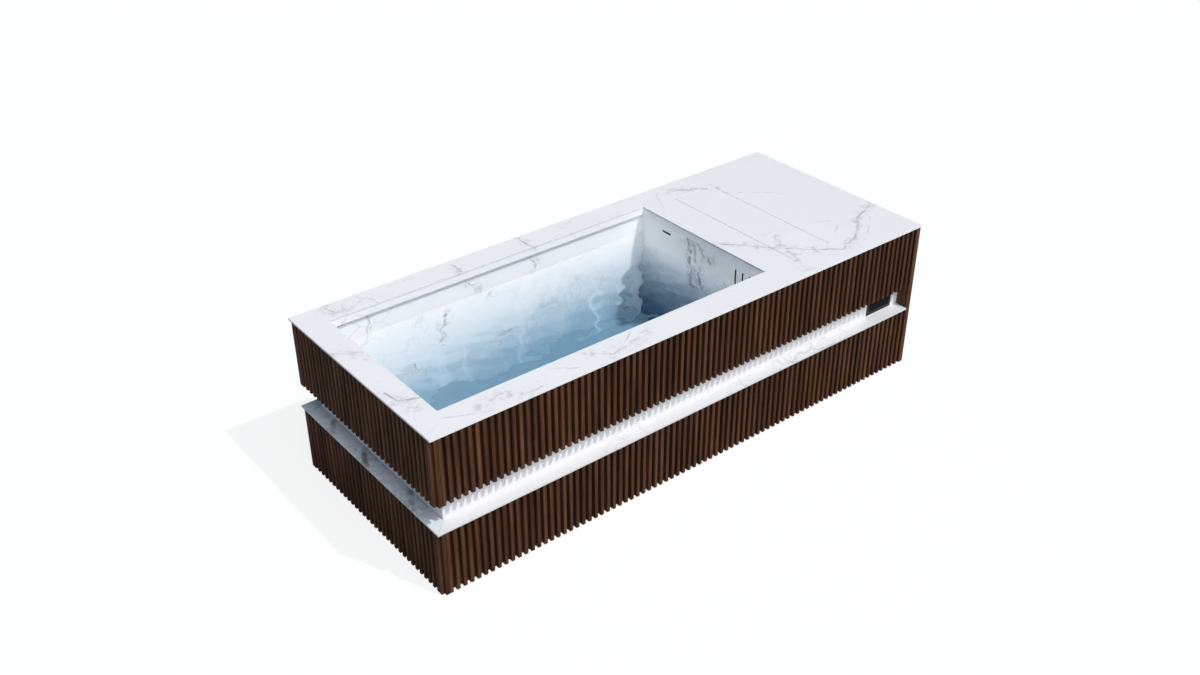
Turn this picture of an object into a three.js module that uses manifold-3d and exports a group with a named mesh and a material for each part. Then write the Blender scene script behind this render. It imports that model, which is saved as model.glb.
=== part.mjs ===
// Cold plunge tub: stone top and basin, walnut slat cladding in two tiers, cooling equipment under the deck.
// Millimetres, z up from the ground. Pieces are laid out in a corner frame, x from the left edge of the top
// slab and y from its front edge, and one outer group moves that corner to the centre of the footprint.
import * as THREE from 'three';
import { mergeVertices } from 'three/addons/utils/BufferGeometryUtils.js';
import Module from 'manifold-3d';

const wasm = await Module();
wasm.setup();

// Overall size
const LENGTH = 2500;
const WIDTH = 1010;
const HEIGHT = 700;

// Clearance between pieces that touch
const GAP = 0.3;

// Stone panels, the deck beside the basin and the basin itself
const STONE = 8;
const OVERHANG = 3;
const DECK_LENGTH = 824;
const APRON_HEIGHT = 36;
const WALL_SETBACK = 16;
const FLOOR_TOP = 100;

// Hatch in the deck
const HATCH_FROM_OPENING = 165;
const HATCH_LENGTH = 222;
const HATCH_WIDTH = 730;
const HATCH_SEAM = 2;
const HATCH_LAND = 12;
const HATCH_RING_HEIGHT = 12;

// Recessed band between the two tiers of cladding
const LEDGE_TOP = 295;
const BAND_HEIGHT = 109;
const BAND_DEPTH = 60;
const SOFFIT = 6;

// Slat cladding
const SLAT_WIDTH = 15.5;
const SLAT_PITCH = 30;
const SLAT_DEPTH = 18;
const SLAT_CHAMFER = 3;
const BACKING = 9;
const CORNER_NOTCH = 13;
const CORNER_SLAT = 16;
const GROUND_GAP = 5;

// Slots in the right wall of the basin
const SLOT_COUNT = 3;
const SLOT_WIDTH = 9;
const SLOT_HEIGHT = 116;
const SLOT_PITCH = 42;
const SLOT_DROP = 73;
const SLOT_CENTRE = 270;
const SPOUT_LENGTH = 54;
const SPOUT_HEIGHT = 9;
const SPOUT_FROM_BACK = 259;
const SPOUT_DROP = 77;

// Watertight shell, insulation and the skimmer behind the slots
const SHELL = 4;
const SHELL_FLANGE = 8;
const FOAM = 10;
const FOAM_FLOOR = 36;
const LEFT_CLEAR = 1.1;
const FRONT_CLEAR = 19.1;
const BACK_CLEAR = 5.1;
const BOX_WALL = 3;
const SKIMMER_MARGIN = 9;
const SKIMMER_DEPTH = 105;
const FLAP_HEIGHT = 62;
const FLAP_SETBACK = 14;
const FLAP_BARREL = 4;

// Steel frame and feet
const TUBE = 40;
const RIB = 8;
const RIB_FLAT = 5;
const RIB_FROM_LEFT = 140;
const RIB_FROM_FRONT = 250;
const BEAM = 30;
const BEAM_FROM_HATCH = 50;
const CROSS_TUBES = 3;
const FOOT_RADIUS = 24;
const FOOT_PAD = 6;

// Control display in the band
const DISPLAY_LENGTH = 154;
const DISPLAY_HEIGHT = 94;
const DISPLAY_FROM_END = 50;
const DISPLAY_LIFT = 8;
const DISPLAY_PROUD = 4;
const DISPLAY_RIM = 5;
const DISPLAY_DEPTH = 22;
const GLASS = 2;

// Water circuit
const PIPE = 20;
const BEND = 45;
const COLLAR_WALL = 6;
const COLLAR_LENGTH = 20;
const DRAIN_FROM_WALL = 92;
const DRAIN_RADIUS = 40;
const DRAIN_TAIL = 13;
const DRAIN_LEVEL = 72;
const VALVE_RADIUS = 16;
const VALVE_LENGTH = 70;
const LEVER_REACH = 70;
const PUMP_RADIUS = 80;
const PUMP_LENGTH = 70;
const MOTOR_RADIUS = 62;
const MOTOR_LENGTH = 180;
const FILTER_RADIUS = 95;
const FILTER_HEIGHT = 385;
const FILTER_WALL = 5;
const CARTRIDGE_RADIUS = 74;
const CARTRIDGE_HEIGHT = 330;
const PLEATS = 16;

// Cooling circuit
const EXCHANGER_RADIUS = 70;
const EXCHANGER_HEIGHT = 465;
const COMPRESSOR_RADIUS = 85;
const COMPRESSOR_HEIGHT = 305;
const COIL_DEPTH = 50;
const COIL_WIDTH = 500;
const COIL_HEIGHT = 505;
const SHROUD_DEPTH = 45;
const FAN_RADIUS = 198;
const FAN_CLEAR = 7;
const FAN_HUB = 45;
const BLADES = 5;
const BLADE_PITCH = Math.PI / 11;
const LINE = 8;
const LINE_BEND = 30;
const STUB = 12;
const TRAY = 4;

// Levels and limits that follow from the sizes above
const SLAB_BOTTOM = HEIGHT - STONE;
const UNDER_SLAB = SLAB_BOTTOM - GAP;
const BAND_TOP = LEDGE_TOP + BAND_HEIGHT;
const LEDGE_BOTTOM = LEDGE_TOP - STONE;
const BAND_BACK = BAND_DEPTH + STONE;
const PANEL_DEPTH = SLAT_DEPTH + BACKING;
const CLAD_INNER = OVERHANG + PANEL_DEPTH;
const END_INNER = LENGTH - CLAD_INNER;
const SHELL_TOP = FLOOR_TOP - STONE - GAP;
const SHELL_BOTTOM = SHELL_TOP - SHELL;
const FOAM_TOP = SHELL_BOTTOM - GAP;
const FOAM_BOTTOM = FOAM_TOP - FOAM_FLOOR;
const FRAME_TOP = FOAM_BOTTOM - GAP;
const FRAME_BOTTOM = FRAME_TOP - TUBE;
const TRAY_TOP = FRAME_TOP + GAP + TRAY;
const STAND = TRAY_TOP + GAP;

// Outlines in plan, each given by its four sides
const grown = (plan, by) => ({
  left: plan.left - by,
  right: plan.right + by,
  front: plan.front - by,
  back: plan.back + by,
});
const RIM = BAND_BACK + RIB_FLAT + FOAM + SHELL + STONE + WALL_SETBACK + 3 * GAP;
const OPENING = {
  left: RIM + LEFT_CLEAR,
  right: LENGTH - DECK_LENGTH,
  front: RIM + FRONT_CLEAR,
  back: WIDTH - RIM - BACK_CLEAR,
};
const WALLS = grown(OPENING, WALL_SETBACK);
const LINING = grown(WALLS, STONE);
const SHELL_IN = grown(LINING, GAP);
const SHELL_OUT = grown(SHELL_IN, SHELL);
const FOAM_IN = grown(SHELL_OUT, GAP);
const FOAM_OUT = grown(FOAM_IN, FOAM);
const HATCH_HOLE = {
  left: OPENING.right + HATCH_FROM_OPENING,
  right: OPENING.right + HATCH_FROM_OPENING + HATCH_LENGTH,
  front: (WIDTH - HATCH_WIDTH) / 2,
  back: (WIDTH + HATCH_WIDTH) / 2,
};

// Places in the equipment bay
const COLLAR = PIPE + COLLAR_WALL;
const SLOT_TOP = HEIGHT - SLOT_DROP;
const SPOUT_CENTRE = WIDTH - SPOUT_FROM_BACK;
const SPOUT_LEVEL = HEIGHT - SPOUT_DROP;
const BAY_X = LINING.right + GAP;
const HATCH_X = (HATCH_HOLE.left + HATCH_HOLE.right) / 2;
const PUMP_Z = 165;
const FILTER_REACH = FILTER_RADIUS + COLLAR_LENGTH;
const FILTER_IN_Z = 400;
const FILTER_OUT_Z = 120;
const EXCHANGER_REACH = EXCHANGER_RADIUS + COLLAR_LENGTH;
const EXCHANGER_OUT_Z = 470;
const FILTER_Y = SPOUT_CENTRE - EXCHANGER_REACH - BEND - COLLAR_WALL;
const CHILLER_X = HATCH_X + 248;
const COMPRESSOR_Y = 440;
const COIL_X = CHILLER_X + 100;
const FAN_Y = WIDTH / 2 + 5;
const FAN_Z = 310;
const BEAMS_X = [HATCH_HOLE.left - BEAM_FROM_HATCH, HATCH_HOLE.right + BEAM_FROM_HATCH];
const RIBS_X = [RIB_FROM_LEFT, (RIB_FROM_LEFT + BEAMS_X[0]) / 2, ...BEAMS_X, END_INNER - BEAM];
const RIBS_Y = [RIB_FROM_FRONT, WIDTH - RIB_FROM_FRONT];

// Body made of a geometry, for cutting and joining
function solid(geometry) {
  const plain = geometry.clone();
  plain.deleteAttribute('normal');
  plain.deleteAttribute('uv');
  const merged = mergeVertices(plain, 1e-4);
  const vertProperties = new Float32Array(merged.attributes.position.array);
  const triVerts = new Uint32Array(merged.index.array);
  return new wasm.Manifold(new wasm.Mesh({ numProp: 3, vertProperties, triVerts }));
}

// Geometry with flat faces made of a body
function skin(body) {
  const mesh = body.getMesh();
  const geometry = new THREE.BufferGeometry();
  geometry.setAttribute('position', new THREE.BufferAttribute(new Float32Array(mesh.vertProperties), 3));
  geometry.setIndex(new THREE.BufferAttribute(new Uint32Array(mesh.triVerts), 1));
  const flat = geometry.toNonIndexed();
  flat.computeVertexNormals();
  return flat;
}

// One geometry with others joined to it
function join(first, ...others) {
  return skin(others.reduce((body, other) => body.add(solid(other)), solid(first)));
}

// One geometry with others cut away from it
function cut(first, ...tools) {
  return skin(tools.reduce((body, tool) => body.subtract(solid(tool)), solid(first)));
}

// Box between two limits along each axis
function block([x0, x1], [y0, y1], [z0, z1]) {
  const geometry = new THREE.BoxGeometry(x1 - x0, y1 - y0, z1 - z0);
  return geometry.translate((x0 + x1) / 2, (y0 + y1) / 2, (z0 + z1) / 2);
}

// Box over an outline in plan
function planBlock(plan, zs) {
  return block([plan.left, plan.right], [plan.front, plan.back], zs);
}

// Upright prism over a closed outline, from z = 0
function prism(points, height) {
  const shape = new THREE.Shape(points.map(([x, y]) => new THREE.Vector2(x, y)));
  return new THREE.ExtrudeGeometry(shape, { depth: height, bevelEnabled: false });
}

// Body of revolution about z; the profile lists radius and level and starts and ends on the axis
function turned(profile, segments) {
  const points = profile.map(([r, z]) => new THREE.Vector2(r, z));
  return new THREE.LatheGeometry(points, segments).rotateX(Math.PI / 2);
}

// Cylinder along x, y or z, from one end to the other
function rod(axis, radius, from, to, segments) {
  const geometry = new THREE.CylinderGeometry(radius, radius, to - from, segments);
  if (axis === 'x') return geometry.rotateZ(-Math.PI / 2).translate((from + to) / 2, 0, 0);
  if (axis === 'y') return geometry.translate(0, (from + to) / 2, 0);
  return geometry.rotateX(Math.PI / 2).translate(0, 0, (from + to) / 2);
}

// Centre line of a pipe: straight runs joined by round bends, each bend in two facets
class PipeRoute extends THREE.Curve {
  constructor(corners, bend) {
    super();
    const points = corners.map((corner) => new THREE.Vector3(...corner));
    const last = points.length - 1;
    this.stations = [points[0]];
    this.tangents = [points[1].clone().sub(points[0]).normalize()];
    for (let i = 1; i < last; i += 1) {
      const before = points[i].clone().sub(points[i - 1]).normalize();
      const after = points[i + 1].clone().sub(points[i]).normalize();
      const middle = before.clone().add(after).normalize();
      const inner = after.clone().sub(before).normalize();
      this.stations.push(points[i].clone().addScaledVector(before, -bend));
      this.stations.push(points[i].clone().addScaledVector(inner, bend * (Math.SQRT2 - 1)));
      this.stations.push(points[i].clone().addScaledVector(after, bend));
      this.tangents.push(before, middle, after);
    }
    this.stations.push(points[last]);
    this.tangents.push(points[last].clone().sub(points[last - 1]).normalize());
  }

  get steps() {
    return this.stations.length - 1;
  }

  getPointAt(u) {
    return this.stations[Math.round(u * this.steps)].clone();
  }

  getTangentAt(u) {
    return this.tangents[Math.round(u * this.steps)].clone();
  }
}

// Pipe of round section along a route
function pipe(corners, radius, bend, segments) {
  const route = new PipeRoute(corners, bend);
  const ring = Array.from({ length: segments }, (_, i) => {
    const angle = (2 * Math.PI * i) / segments;
    return new THREE.Vector2(radius * Math.cos(angle), radius * Math.sin(angle));
  });
  return new THREE.ExtrudeGeometry(new THREE.Shape(ring), { steps: route.steps, extrudePath: route });
}

// Finishes
const FINISH = {
  stone: [0xe6e9ee, 0.32, 0],
  walnut: [0x5e4130, 0.6, 0],
  shell: [0xd9dcdf, 0.4, 0],
  foam: [0xcfc7a6, 0.9, 0],
  steel: [0x8d9296, 0.5, 0.8],
  black: [0x17181a, 0.45, 0],
  glass: [0x0b0d10, 0.08, 0],
  rubber: [0x202022, 0.8, 0],
  pvc: [0x9a9ea3, 0.5, 0],
  housing: [0x2d5f8a, 0.45, 0],
  paper: [0xe9ecec, 0.85, 0],
  motor: [0x3b4046, 0.5, 0.3],
  compressor: [0x101113, 0.4, 0.4],
  aluminium: [0xb9bec3, 0.4, 0.9],
  copper: [0xb4693c, 0.35, 1],
};

// Adds one named piece to a group
function piece(group, name, finish, geometry, place = [0, 0, 0]) {
  const [color, roughness, metalness] = FINISH[finish];
  const material = new THREE.MeshStandardMaterial({ color, roughness, metalness });
  const mesh = new THREE.Mesh(geometry, material);
  mesh.name = name;
  mesh.position.set(...place);
  group.add(mesh);
  return mesh;
}

// Adds a named group at a place in its parent
function assembly(parent, name, place = [0, 0, 0]) {
  const group = new THREE.Group();
  group.name = name;
  group.position.set(...place);
  parent.add(group);
  return group;
}

const tub = new THREE.Group();
tub.name = 'cold_plunge_tub';
const corner = assembly(tub, 'corner_frame', [-LENGTH / 2, -WIDTH / 2, 0]);

// Slat cladding: a backing board with chamfered slats in one section, drawn with its face at y = 0 and its back
// at y = PANEL_DEPTH. An end is mitred behind a square notch where two clad faces meet, open where a panel
// stops one groove short of its neighbour, or flush where it ends with a slat.
function slatSection(from, to, fromEnd, toEnd) {
  const inset = {
    mitre: CORNER_NOTCH + CORNER_SLAT,
    open: SLAT_PITCH - SLAT_WIDTH,
    flush: 0,
  };
  const first = from + inset[fromEnd];
  const last = to - inset[toEnd] - SLAT_WIDTH;
  const count = Math.round((last - first) / SLAT_PITCH) + 1;
  const pitch = (last - first) / (count - 1);
  const start = {
    mitre: [
      [from + PANEL_DEPTH + GAP, PANEL_DEPTH],
      [from + CORNER_NOTCH, CORNER_NOTCH - GAP],
      [from + CORNER_NOTCH, 0],
      [first - SLAT_CHAMFER, 0],
    ],
    open: [[from, PANEL_DEPTH], [from, SLAT_DEPTH], [first, SLAT_DEPTH]],
    flush: [[from, PANEL_DEPTH]],
  };
  const after = last + SLAT_WIDTH;
  const end = {
    mitre: [
      [after + SLAT_CHAMFER, 0],
      [to - CORNER_NOTCH, 0],
      [to - CORNER_NOTCH, CORNER_NOTCH - GAP],
      [to - PANEL_DEPTH - GAP, PANEL_DEPTH],
    ],
    open: [[after, SLAT_DEPTH], [to, SLAT_DEPTH], [to, PANEL_DEPTH]],
    flush: [[to, PANEL_DEPTH]],
  };
  const points = [...start[fromEnd]];
  for (let i = 0; i < count; i += 1) {
    const left = first + i * pitch;
    const right = left + SLAT_WIDTH;
    if (i > 0) points.push([left, SLAT_DEPTH]);
    points.push([left, SLAT_CHAMFER], [left + SLAT_CHAMFER, 0]);
    points.push([right - SLAT_CHAMFER, 0], [right, SLAT_CHAMFER]);
    if (i < count - 1) points.push([right, SLAT_DEPTH]);
  }
  points.push(...end[toEnd]);
  return points;
}

const cladding = assembly(corner, 'cladding');
const tiers = [
  ['lower', GROUND_GAP, LEDGE_BOTTOM - GAP],
  ['upper', BAND_TOP, UNDER_SLAB],
];
const CLAD_END = END_INNER - GAP;
const CLAD_MIDDLE = (OVERHANG + CLAD_END) / 2;
const CLAD_RUN = CLAD_END - OVERHANG;
const SIDE_RUN = WIDTH - 2 * OVERHANG;
for (const [tier, bottom, top] of tiers) {
  const front = prism(slatSection(-CLAD_RUN / 2, CLAD_RUN / 2, 'mitre', 'open'), top - bottom);
  piece(cladding, `slat_front_${tier}`, 'walnut', front, [CLAD_MIDDLE, OVERHANG, bottom]);
  const back = prism(slatSection(-CLAD_RUN / 2, CLAD_RUN / 2, 'open', 'mitre'), top - bottom);
  const backPanel = piece(cladding, `slat_back_${tier}`, 'walnut', back);
  backPanel.position.set(CLAD_MIDDLE, WIDTH - OVERHANG, bottom);
  backPanel.rotation.z = Math.PI;
  const left = prism(slatSection(-SIDE_RUN / 2, SIDE_RUN / 2, 'mitre', 'mitre'), top - bottom);
  const leftPanel = piece(cladding, `slat_left_${tier}`, 'walnut', left);
  leftPanel.position.set(OVERHANG, WIDTH / 2, bottom);
  leftPanel.rotation.z = -Math.PI / 2;
}
const endSection = slatSection(-SIDE_RUN / 2, SIDE_RUN / 2, 'flush', 'flush');
const endPanel = piece(cladding, 'slat_end_panel', 'walnut', prism(endSection, UNDER_SLAB - GROUND_GAP));
endPanel.position.set(LENGTH - OVERHANG, WIDTH / 2, GROUND_GAP);
endPanel.rotation.z = Math.PI / 2;

// Stone top: one slab with a drop apron round the basin opening, and a lift-off hatch on a ring frame
const stonework = assembly(corner, 'stonework');
const apronOut = grown(OPENING, WALL_SETBACK - GAP);
const sheet = block([0, LENGTH], [0, WIDTH], [SLAB_BOTTOM, HEIGHT]);
const apron = planBlock(apronOut, [HEIGHT - APRON_HEIGHT, HEIGHT]);
piece(
  stonework,
  'top_slab',
  'stone',
  cut(
    join(sheet, apron),
    planBlock(OPENING, [0, HEIGHT + STONE]),
    planBlock(HATCH_HOLE, [0, HEIGHT + STONE]),
  ),
);
const hatchSize = [HATCH_LENGTH - 2 * HATCH_SEAM, HATCH_WIDTH - 2 * HATCH_SEAM, STONE];
const hatchPlace = [HATCH_X, WIDTH / 2, SLAB_BOTTOM + STONE / 2];
piece(stonework, 'deck_hatch', 'stone', new THREE.BoxGeometry(...hatchSize), hatchPlace);
const ringLevels = [UNDER_SLAB - HATCH_RING_HEIGHT, UNDER_SLAB];
piece(
  stonework,
  'hatch_frame',
  'aluminium',
  cut(
    planBlock(grown(HATCH_HOLE, HATCH_LAND), ringLevels),
    planBlock(grown(HATCH_HOLE, -HATCH_LAND), [0, HEIGHT]),
  ),
);

// Recessed band: a mitred ledge, the wall behind it and the soffit over it, on the front, left and back
const ledgeFront = [[GAP, 0], [CLAD_END, 0], [CLAD_END, BAND_BACK], [BAND_BACK + GAP, BAND_BACK]];
const ledgeLeft = [
  [0, GAP],
  [BAND_BACK, BAND_BACK + GAP],
  [BAND_BACK, WIDTH - BAND_BACK - GAP],
  [0, WIDTH - GAP],
];
const ledgeBack = ledgeFront.map(([x, y]) => [x, WIDTH - y]);
piece(stonework, 'ledge_front', 'stone', prism(ledgeFront, STONE), [0, 0, LEDGE_BOTTOM]);
piece(stonework, 'ledge_left', 'stone', prism(ledgeLeft, STONE), [0, 0, LEDGE_BOTTOM]);
piece(stonework, 'ledge_back', 'stone', prism(ledgeBack, STONE), [0, 0, LEDGE_BOTTOM]);
const bandLevels = [LEDGE_TOP + GAP, BAND_TOP - GAP];
const displayEnd = END_INNER - DISPLAY_FROM_END;
const displayXs = [displayEnd - DISPLAY_LENGTH, displayEnd];
const displayZs = [LEDGE_TOP + DISPLAY_LIFT, LEDGE_TOP + DISPLAY_LIFT + DISPLAY_HEIGHT];
const within = ([low, high], by) => [low + by, high - by];
piece(
  stonework,
  'band_wall_front',
  'stone',
  cut(
    block([BAND_DEPTH, CLAD_END], [BAND_DEPTH, BAND_BACK], bandLevels),
    block(within(displayXs, DISPLAY_RIM - GAP), [0, WIDTH], within(displayZs, DISPLAY_RIM - GAP)),
  ),
);
const backWall = new THREE.BoxGeometry(CLAD_END - BAND_DEPTH, STONE, bandLevels[1] - bandLevels[0]);
const sideWall = new THREE.BoxGeometry(STONE, WIDTH - 2 * (BAND_BACK + GAP), bandLevels[1] - bandLevels[0]);
const bandMiddle = (bandLevels[0] + bandLevels[1]) / 2;
const backWallPlace = [(BAND_DEPTH + CLAD_END) / 2, WIDTH - BAND_DEPTH - STONE / 2, bandMiddle];
piece(stonework, 'band_wall_back', 'stone', backWall, backWallPlace);
piece(stonework, 'band_wall_left', 'stone', sideWall, [BAND_DEPTH + STONE / 2, WIDTH / 2, bandMiddle]);
const soffitOut = CLAD_INNER + GAP;
const soffit = [
  [soffitOut, soffitOut],
  [CLAD_END, soffitOut],
  [CLAD_END, BAND_BACK],
  [BAND_BACK, BAND_BACK],
  [BAND_BACK, WIDTH - BAND_BACK],
  [CLAD_END, WIDTH - BAND_BACK],
  [CLAD_END, WIDTH - soffitOut],
  [soffitOut, WIDTH - soffitOut],
];
piece(stonework, 'band_soffit', 'walnut', prism(soffit, SOFFIT), [0, 0, BAND_TOP]);

// Control display set through the band wall
const controls = assembly(corner, 'controls');
const bezel = block(displayXs, [BAND_DEPTH - DISPLAY_PROUD, BAND_DEPTH - GAP], displayZs);
const glassRecess = [BAND_DEPTH - DISPLAY_PROUD - 1, BAND_DEPTH - DISPLAY_PROUD + GLASS + GAP];
const displayBody = block(
  within(displayXs, DISPLAY_RIM),
  [BAND_DEPTH - GAP - 1, BAND_DEPTH + DISPLAY_DEPTH],
  within(displayZs, DISPLAY_RIM),
);
const glassXs = within(displayXs, DISPLAY_RIM);
const glassZs = within(displayZs, DISPLAY_RIM);
piece(
  controls,
  'display_housing',
  'black',
  cut(join(bezel, displayBody), block(within(glassXs, -GAP), glassRecess, within(glassZs, -GAP))),
);
const glassYs = [BAND_DEPTH - DISPLAY_PROUD, BAND_DEPTH - DISPLAY_PROUD + GLASS];
piece(controls, 'display_glass', 'glass', block(glassXs, glassYs, glassZs));

// Basin: stone lining in a watertight shell in an insulation jacket
const basin = assembly(corner, 'basin');
const liningLevels = [FLOOR_TOP + GAP, UNDER_SLAB];
piece(
  basin,
  'wall_panel_front',
  'stone',
  block([LINING.left, LINING.right], [LINING.front, WALLS.front], liningLevels),
);
piece(
  basin,
  'wall_panel_back',
  'stone',
  block([LINING.left, LINING.right], [WALLS.back, LINING.back], liningLevels),
);
const sideYs = [WALLS.front + GAP, WALLS.back - GAP];
piece(basin, 'wall_panel_left', 'stone', block([LINING.left, WALLS.left], sideYs, liningLevels));
const slots = Array.from({ length: SLOT_COUNT }, (_, i) => {
  const y = SLOT_CENTRE + (i - (SLOT_COUNT - 1) / 2) * SLOT_PITCH;
  return block([WALLS.right - 1, LINING.right + 1], [y - SLOT_WIDTH / 2, y + SLOT_WIDTH / 2], [
    SLOT_TOP - SLOT_HEIGHT,
    SLOT_TOP,
  ]);
});
const centred = (middle, size) => [middle - size / 2, middle + size / 2];
const spoutYs = centred(SPOUT_CENTRE, SPOUT_LENGTH);
const spoutZs = centred(SPOUT_LEVEL, SPOUT_HEIGHT);
piece(
  basin,
  'wall_panel_right',
  'stone',
  cut(
    block([WALLS.right, LINING.right], sideYs, liningLevels),
    ...slots,
    block([WALLS.right - 1, LINING.right + 1], spoutYs, spoutZs),
  ),
);
const drainX = WALLS.right - DRAIN_FROM_WALL;
const drainY = (WALLS.front + WALLS.back) / 2;
const drainHole = rod('z', DRAIN_RADIUS + GAP, 0, FLOOR_TOP + 1, 12).translate(drainX, drainY, 0);
piece(basin, 'floor_panel', 'stone', cut(planBlock(LINING, [FLOOR_TOP - STONE, FLOOR_TOP]), drainHole));

const slotSpan = (SLOT_COUNT - 1) * SLOT_PITCH + SLOT_WIDTH;
const skimmerYs = centred(SLOT_CENTRE, slotSpan + 2 * SKIMMER_MARGIN);
const skimmerZs = [SLOT_TOP - SLOT_HEIGHT - SKIMMER_MARGIN, SLOT_TOP + SKIMMER_MARGIN];
const skimmerOutYs = within(skimmerYs, -BOX_WALL);
const skimmerOutZs = within(skimmerZs, -BOX_WALL);
const spoutOutYs = within(spoutYs, -SKIMMER_MARGIN);
const spoutOutZs = within(spoutZs, -SKIMMER_MARGIN);
const throats = [
  block([WALLS.right, FOAM_OUT.right + 1], within(skimmerOutYs, -GAP), within(skimmerOutZs, -GAP)),
  block([WALLS.right, FOAM_OUT.right + 1], within(spoutOutYs, -GAP), within(spoutOutZs, -GAP)),
];
piece(
  basin,
  'basin_shell',
  'shell',
  cut(
    join(
      planBlock(SHELL_OUT, [SHELL_BOTTOM, UNDER_SLAB]),
      planBlock(grown(SHELL_OUT, SHELL_FLANGE), [UNDER_SLAB - SHELL, UNDER_SLAB]),
    ),
    planBlock(SHELL_IN, [SHELL_TOP, HEIGHT]),
    drainHole,
    ...throats,
  ),
);
const drainCut = rod('z', DRAIN_RADIUS + 2, 0, FLOOR_TOP, 12).translate(drainX, drainY, 0);
const tailCut = block([drainX, FOAM_OUT.right + 1], centred(drainY, 2 * COLLAR), [0, FOAM_TOP + 1]);
piece(
  basin,
  'insulation_jacket',
  'foam',
  cut(
    planBlock(FOAM_OUT, [FOAM_BOTTOM, UNDER_SLAB - SHELL - GAP]),
    planBlock(FOAM_IN, [FOAM_TOP, HEIGHT]),
    drainCut,
    tailCut,
    ...throats,
  ),
);

// Skimmer box behind the upright slots, with an outlet collar below and a weir flap on a barrel inside
const skimmerXs = [BAY_X, BAY_X + SKIMMER_DEPTH];
const skimmerOutX = BAY_X + SKIMMER_DEPTH - COLLAR - SKIMMER_MARGIN;
const skimmerCollar = rod('z', COLLAR, skimmerOutZs[0] - COLLAR_LENGTH, skimmerOutZs[0] + 1, 12);
piece(
  basin,
  'skimmer_body',
  'black',
  join(
    cut(
      block(skimmerXs, skimmerOutYs, skimmerOutZs),
      block([BAY_X - 1, BAY_X + SKIMMER_DEPTH - BOX_WALL], skimmerYs, skimmerZs),
    ),
    skimmerCollar.translate(skimmerOutX, SLOT_CENTRE, 0),
  ),
);
const flapZ = skimmerZs[0] + FLAP_BARREL + GAP;
const flapYs = within(skimmerYs, GAP);
const flapPlate = block([-BOX_WALL / 2, BOX_WALL / 2], within(flapYs, SKIMMER_MARGIN), [0, FLAP_HEIGHT]);
const flapBarrel = rod('y', FLAP_BARREL, flapYs[0], flapYs[1], 10);
piece(basin, 'weir_flap', 'black', join(flapPlate, flapBarrel), [BAY_X + FLAP_SETBACK, 0, flapZ]);

// Return spout: a flat nozzle through the lining with a chamber and a pipe collar behind it
const spoutBack = BAY_X + 3 * COLLAR_LENGTH;
const spoutCollar = rod('x', COLLAR, spoutBack - 1, spoutBack + COLLAR_LENGTH, 12);
piece(
  basin,
  'return_spout',
  'black',
  cut(
    join(
      block([BAY_X, spoutBack], spoutOutYs, spoutOutZs),
      block([WALLS.right, BAY_X + 1], within(spoutYs, GAP), within(spoutZs, GAP)),
      spoutCollar.translate(0, SPOUT_CENTRE, SPOUT_LEVEL),
    ),
    block([0, spoutBack - BOX_WALL], within(spoutYs, 2), within(spoutZs, 2)),
  ),
);

// Floor drain with its tail to the valve, and the grate that lies in it
const drainSeat = FLOOR_TOP - BOX_WALL;
const drainFloor = DRAIN_LEVEL - DRAIN_TAIL;
const drainCup = turned(
  [
    [0, drainFloor - BOX_WALL],
    [DRAIN_RADIUS, drainFloor - BOX_WALL],
    [DRAIN_RADIUS, FLOOR_TOP],
    [DRAIN_RADIUS - 4, FLOOR_TOP],
    [DRAIN_RADIUS - 4, drainSeat],
    [DRAIN_RADIUS - 8, drainSeat],
    [DRAIN_RADIUS - 8, drainFloor],
    [0, drainFloor],
  ],
  12,
);
const valveX = HATCH_X - FILTER_RADIUS - VALVE_RADIUS - COLLAR_WALL;
const tailEnd = valveX - VALVE_LENGTH / 2 - GAP;
const drainTail = rod('x', DRAIN_TAIL, DRAIN_RADIUS - 4, tailEnd - drainX, 12).translate(0, 0, DRAIN_LEVEL);
piece(basin, 'floor_drain', 'black', join(drainCup, drainTail), [drainX, drainY, 0]);
const grateSlots = [-1, 0, 1].map((i) =>
  block(centred(i * 16, 6), centred(0, 1.2 * DRAIN_RADIUS), [-1, BOX_WALL + 1]),
);
piece(
  basin,
  'drain_grate',
  'steel',
  cut(rod('z', DRAIN_RADIUS - 4 - GAP, 0, BOX_WALL - GAP, 12), ...grateSlots),
  [drainX, drainY, drainSeat + GAP],
);

// Welded frame: a ladder of square tube with upright ribs that carry the cladding, band and slab
const chassis = assembly(corner, 'chassis');
const frameXs = [CLAD_INNER + GAP, END_INNER - 2 * GAP];
const frameYs = [CLAD_INNER + GAP, WIDTH - CLAD_INNER - GAP];
const bayTube = FOAM_OUT.right + TUBE;
const crossStep = (bayTube - frameXs[0]) / (CROSS_TUBES + 1);
const crossings = Array.from({ length: CROSS_TUBES + 2 }, (_, i) => frameXs[0] + i * crossStep);
crossings.push(HATCH_HOLE.right + TUBE, frameXs[1] - TUBE);
const wellYs = within(frameYs, TUBE);
const wells = crossings.slice(1).map((x, i) => block([crossings[i] + TUBE, x], wellYs, [0, FLOOR_TOP]));
const ladder = cut(block(frameXs, frameYs, [FRAME_BOTTOM, FRAME_TOP]), ...wells);
const ribDepths = [CLAD_INNER + 2 * GAP, BAND_BACK + GAP, BAND_BACK + GAP + RIB_FLAT];
const ribOutline = [
  [ribDepths[0], FRAME_BOTTOM + TUBE / 4],
  [ribDepths[2], FRAME_BOTTOM + TUBE / 4],
  [ribDepths[2], UNDER_SLAB],
  [ribDepths[0], UNDER_SLAB],
  [ribDepths[0], BAND_TOP + SOFFIT + GAP],
  [ribDepths[1], BAND_TOP + SOFFIT + GAP],
  [ribDepths[1], LEDGE_BOTTOM - GAP],
  [ribDepths[0], LEDGE_BOTTOM - GAP],
];
const rib = () => prism(ribOutline, RIB).rotateX(Math.PI / 2).translate(0, RIB / 2, 0);
const frontRib = (x) => rib().rotateZ(Math.PI / 2).translate(x, 0, 0);
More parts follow.
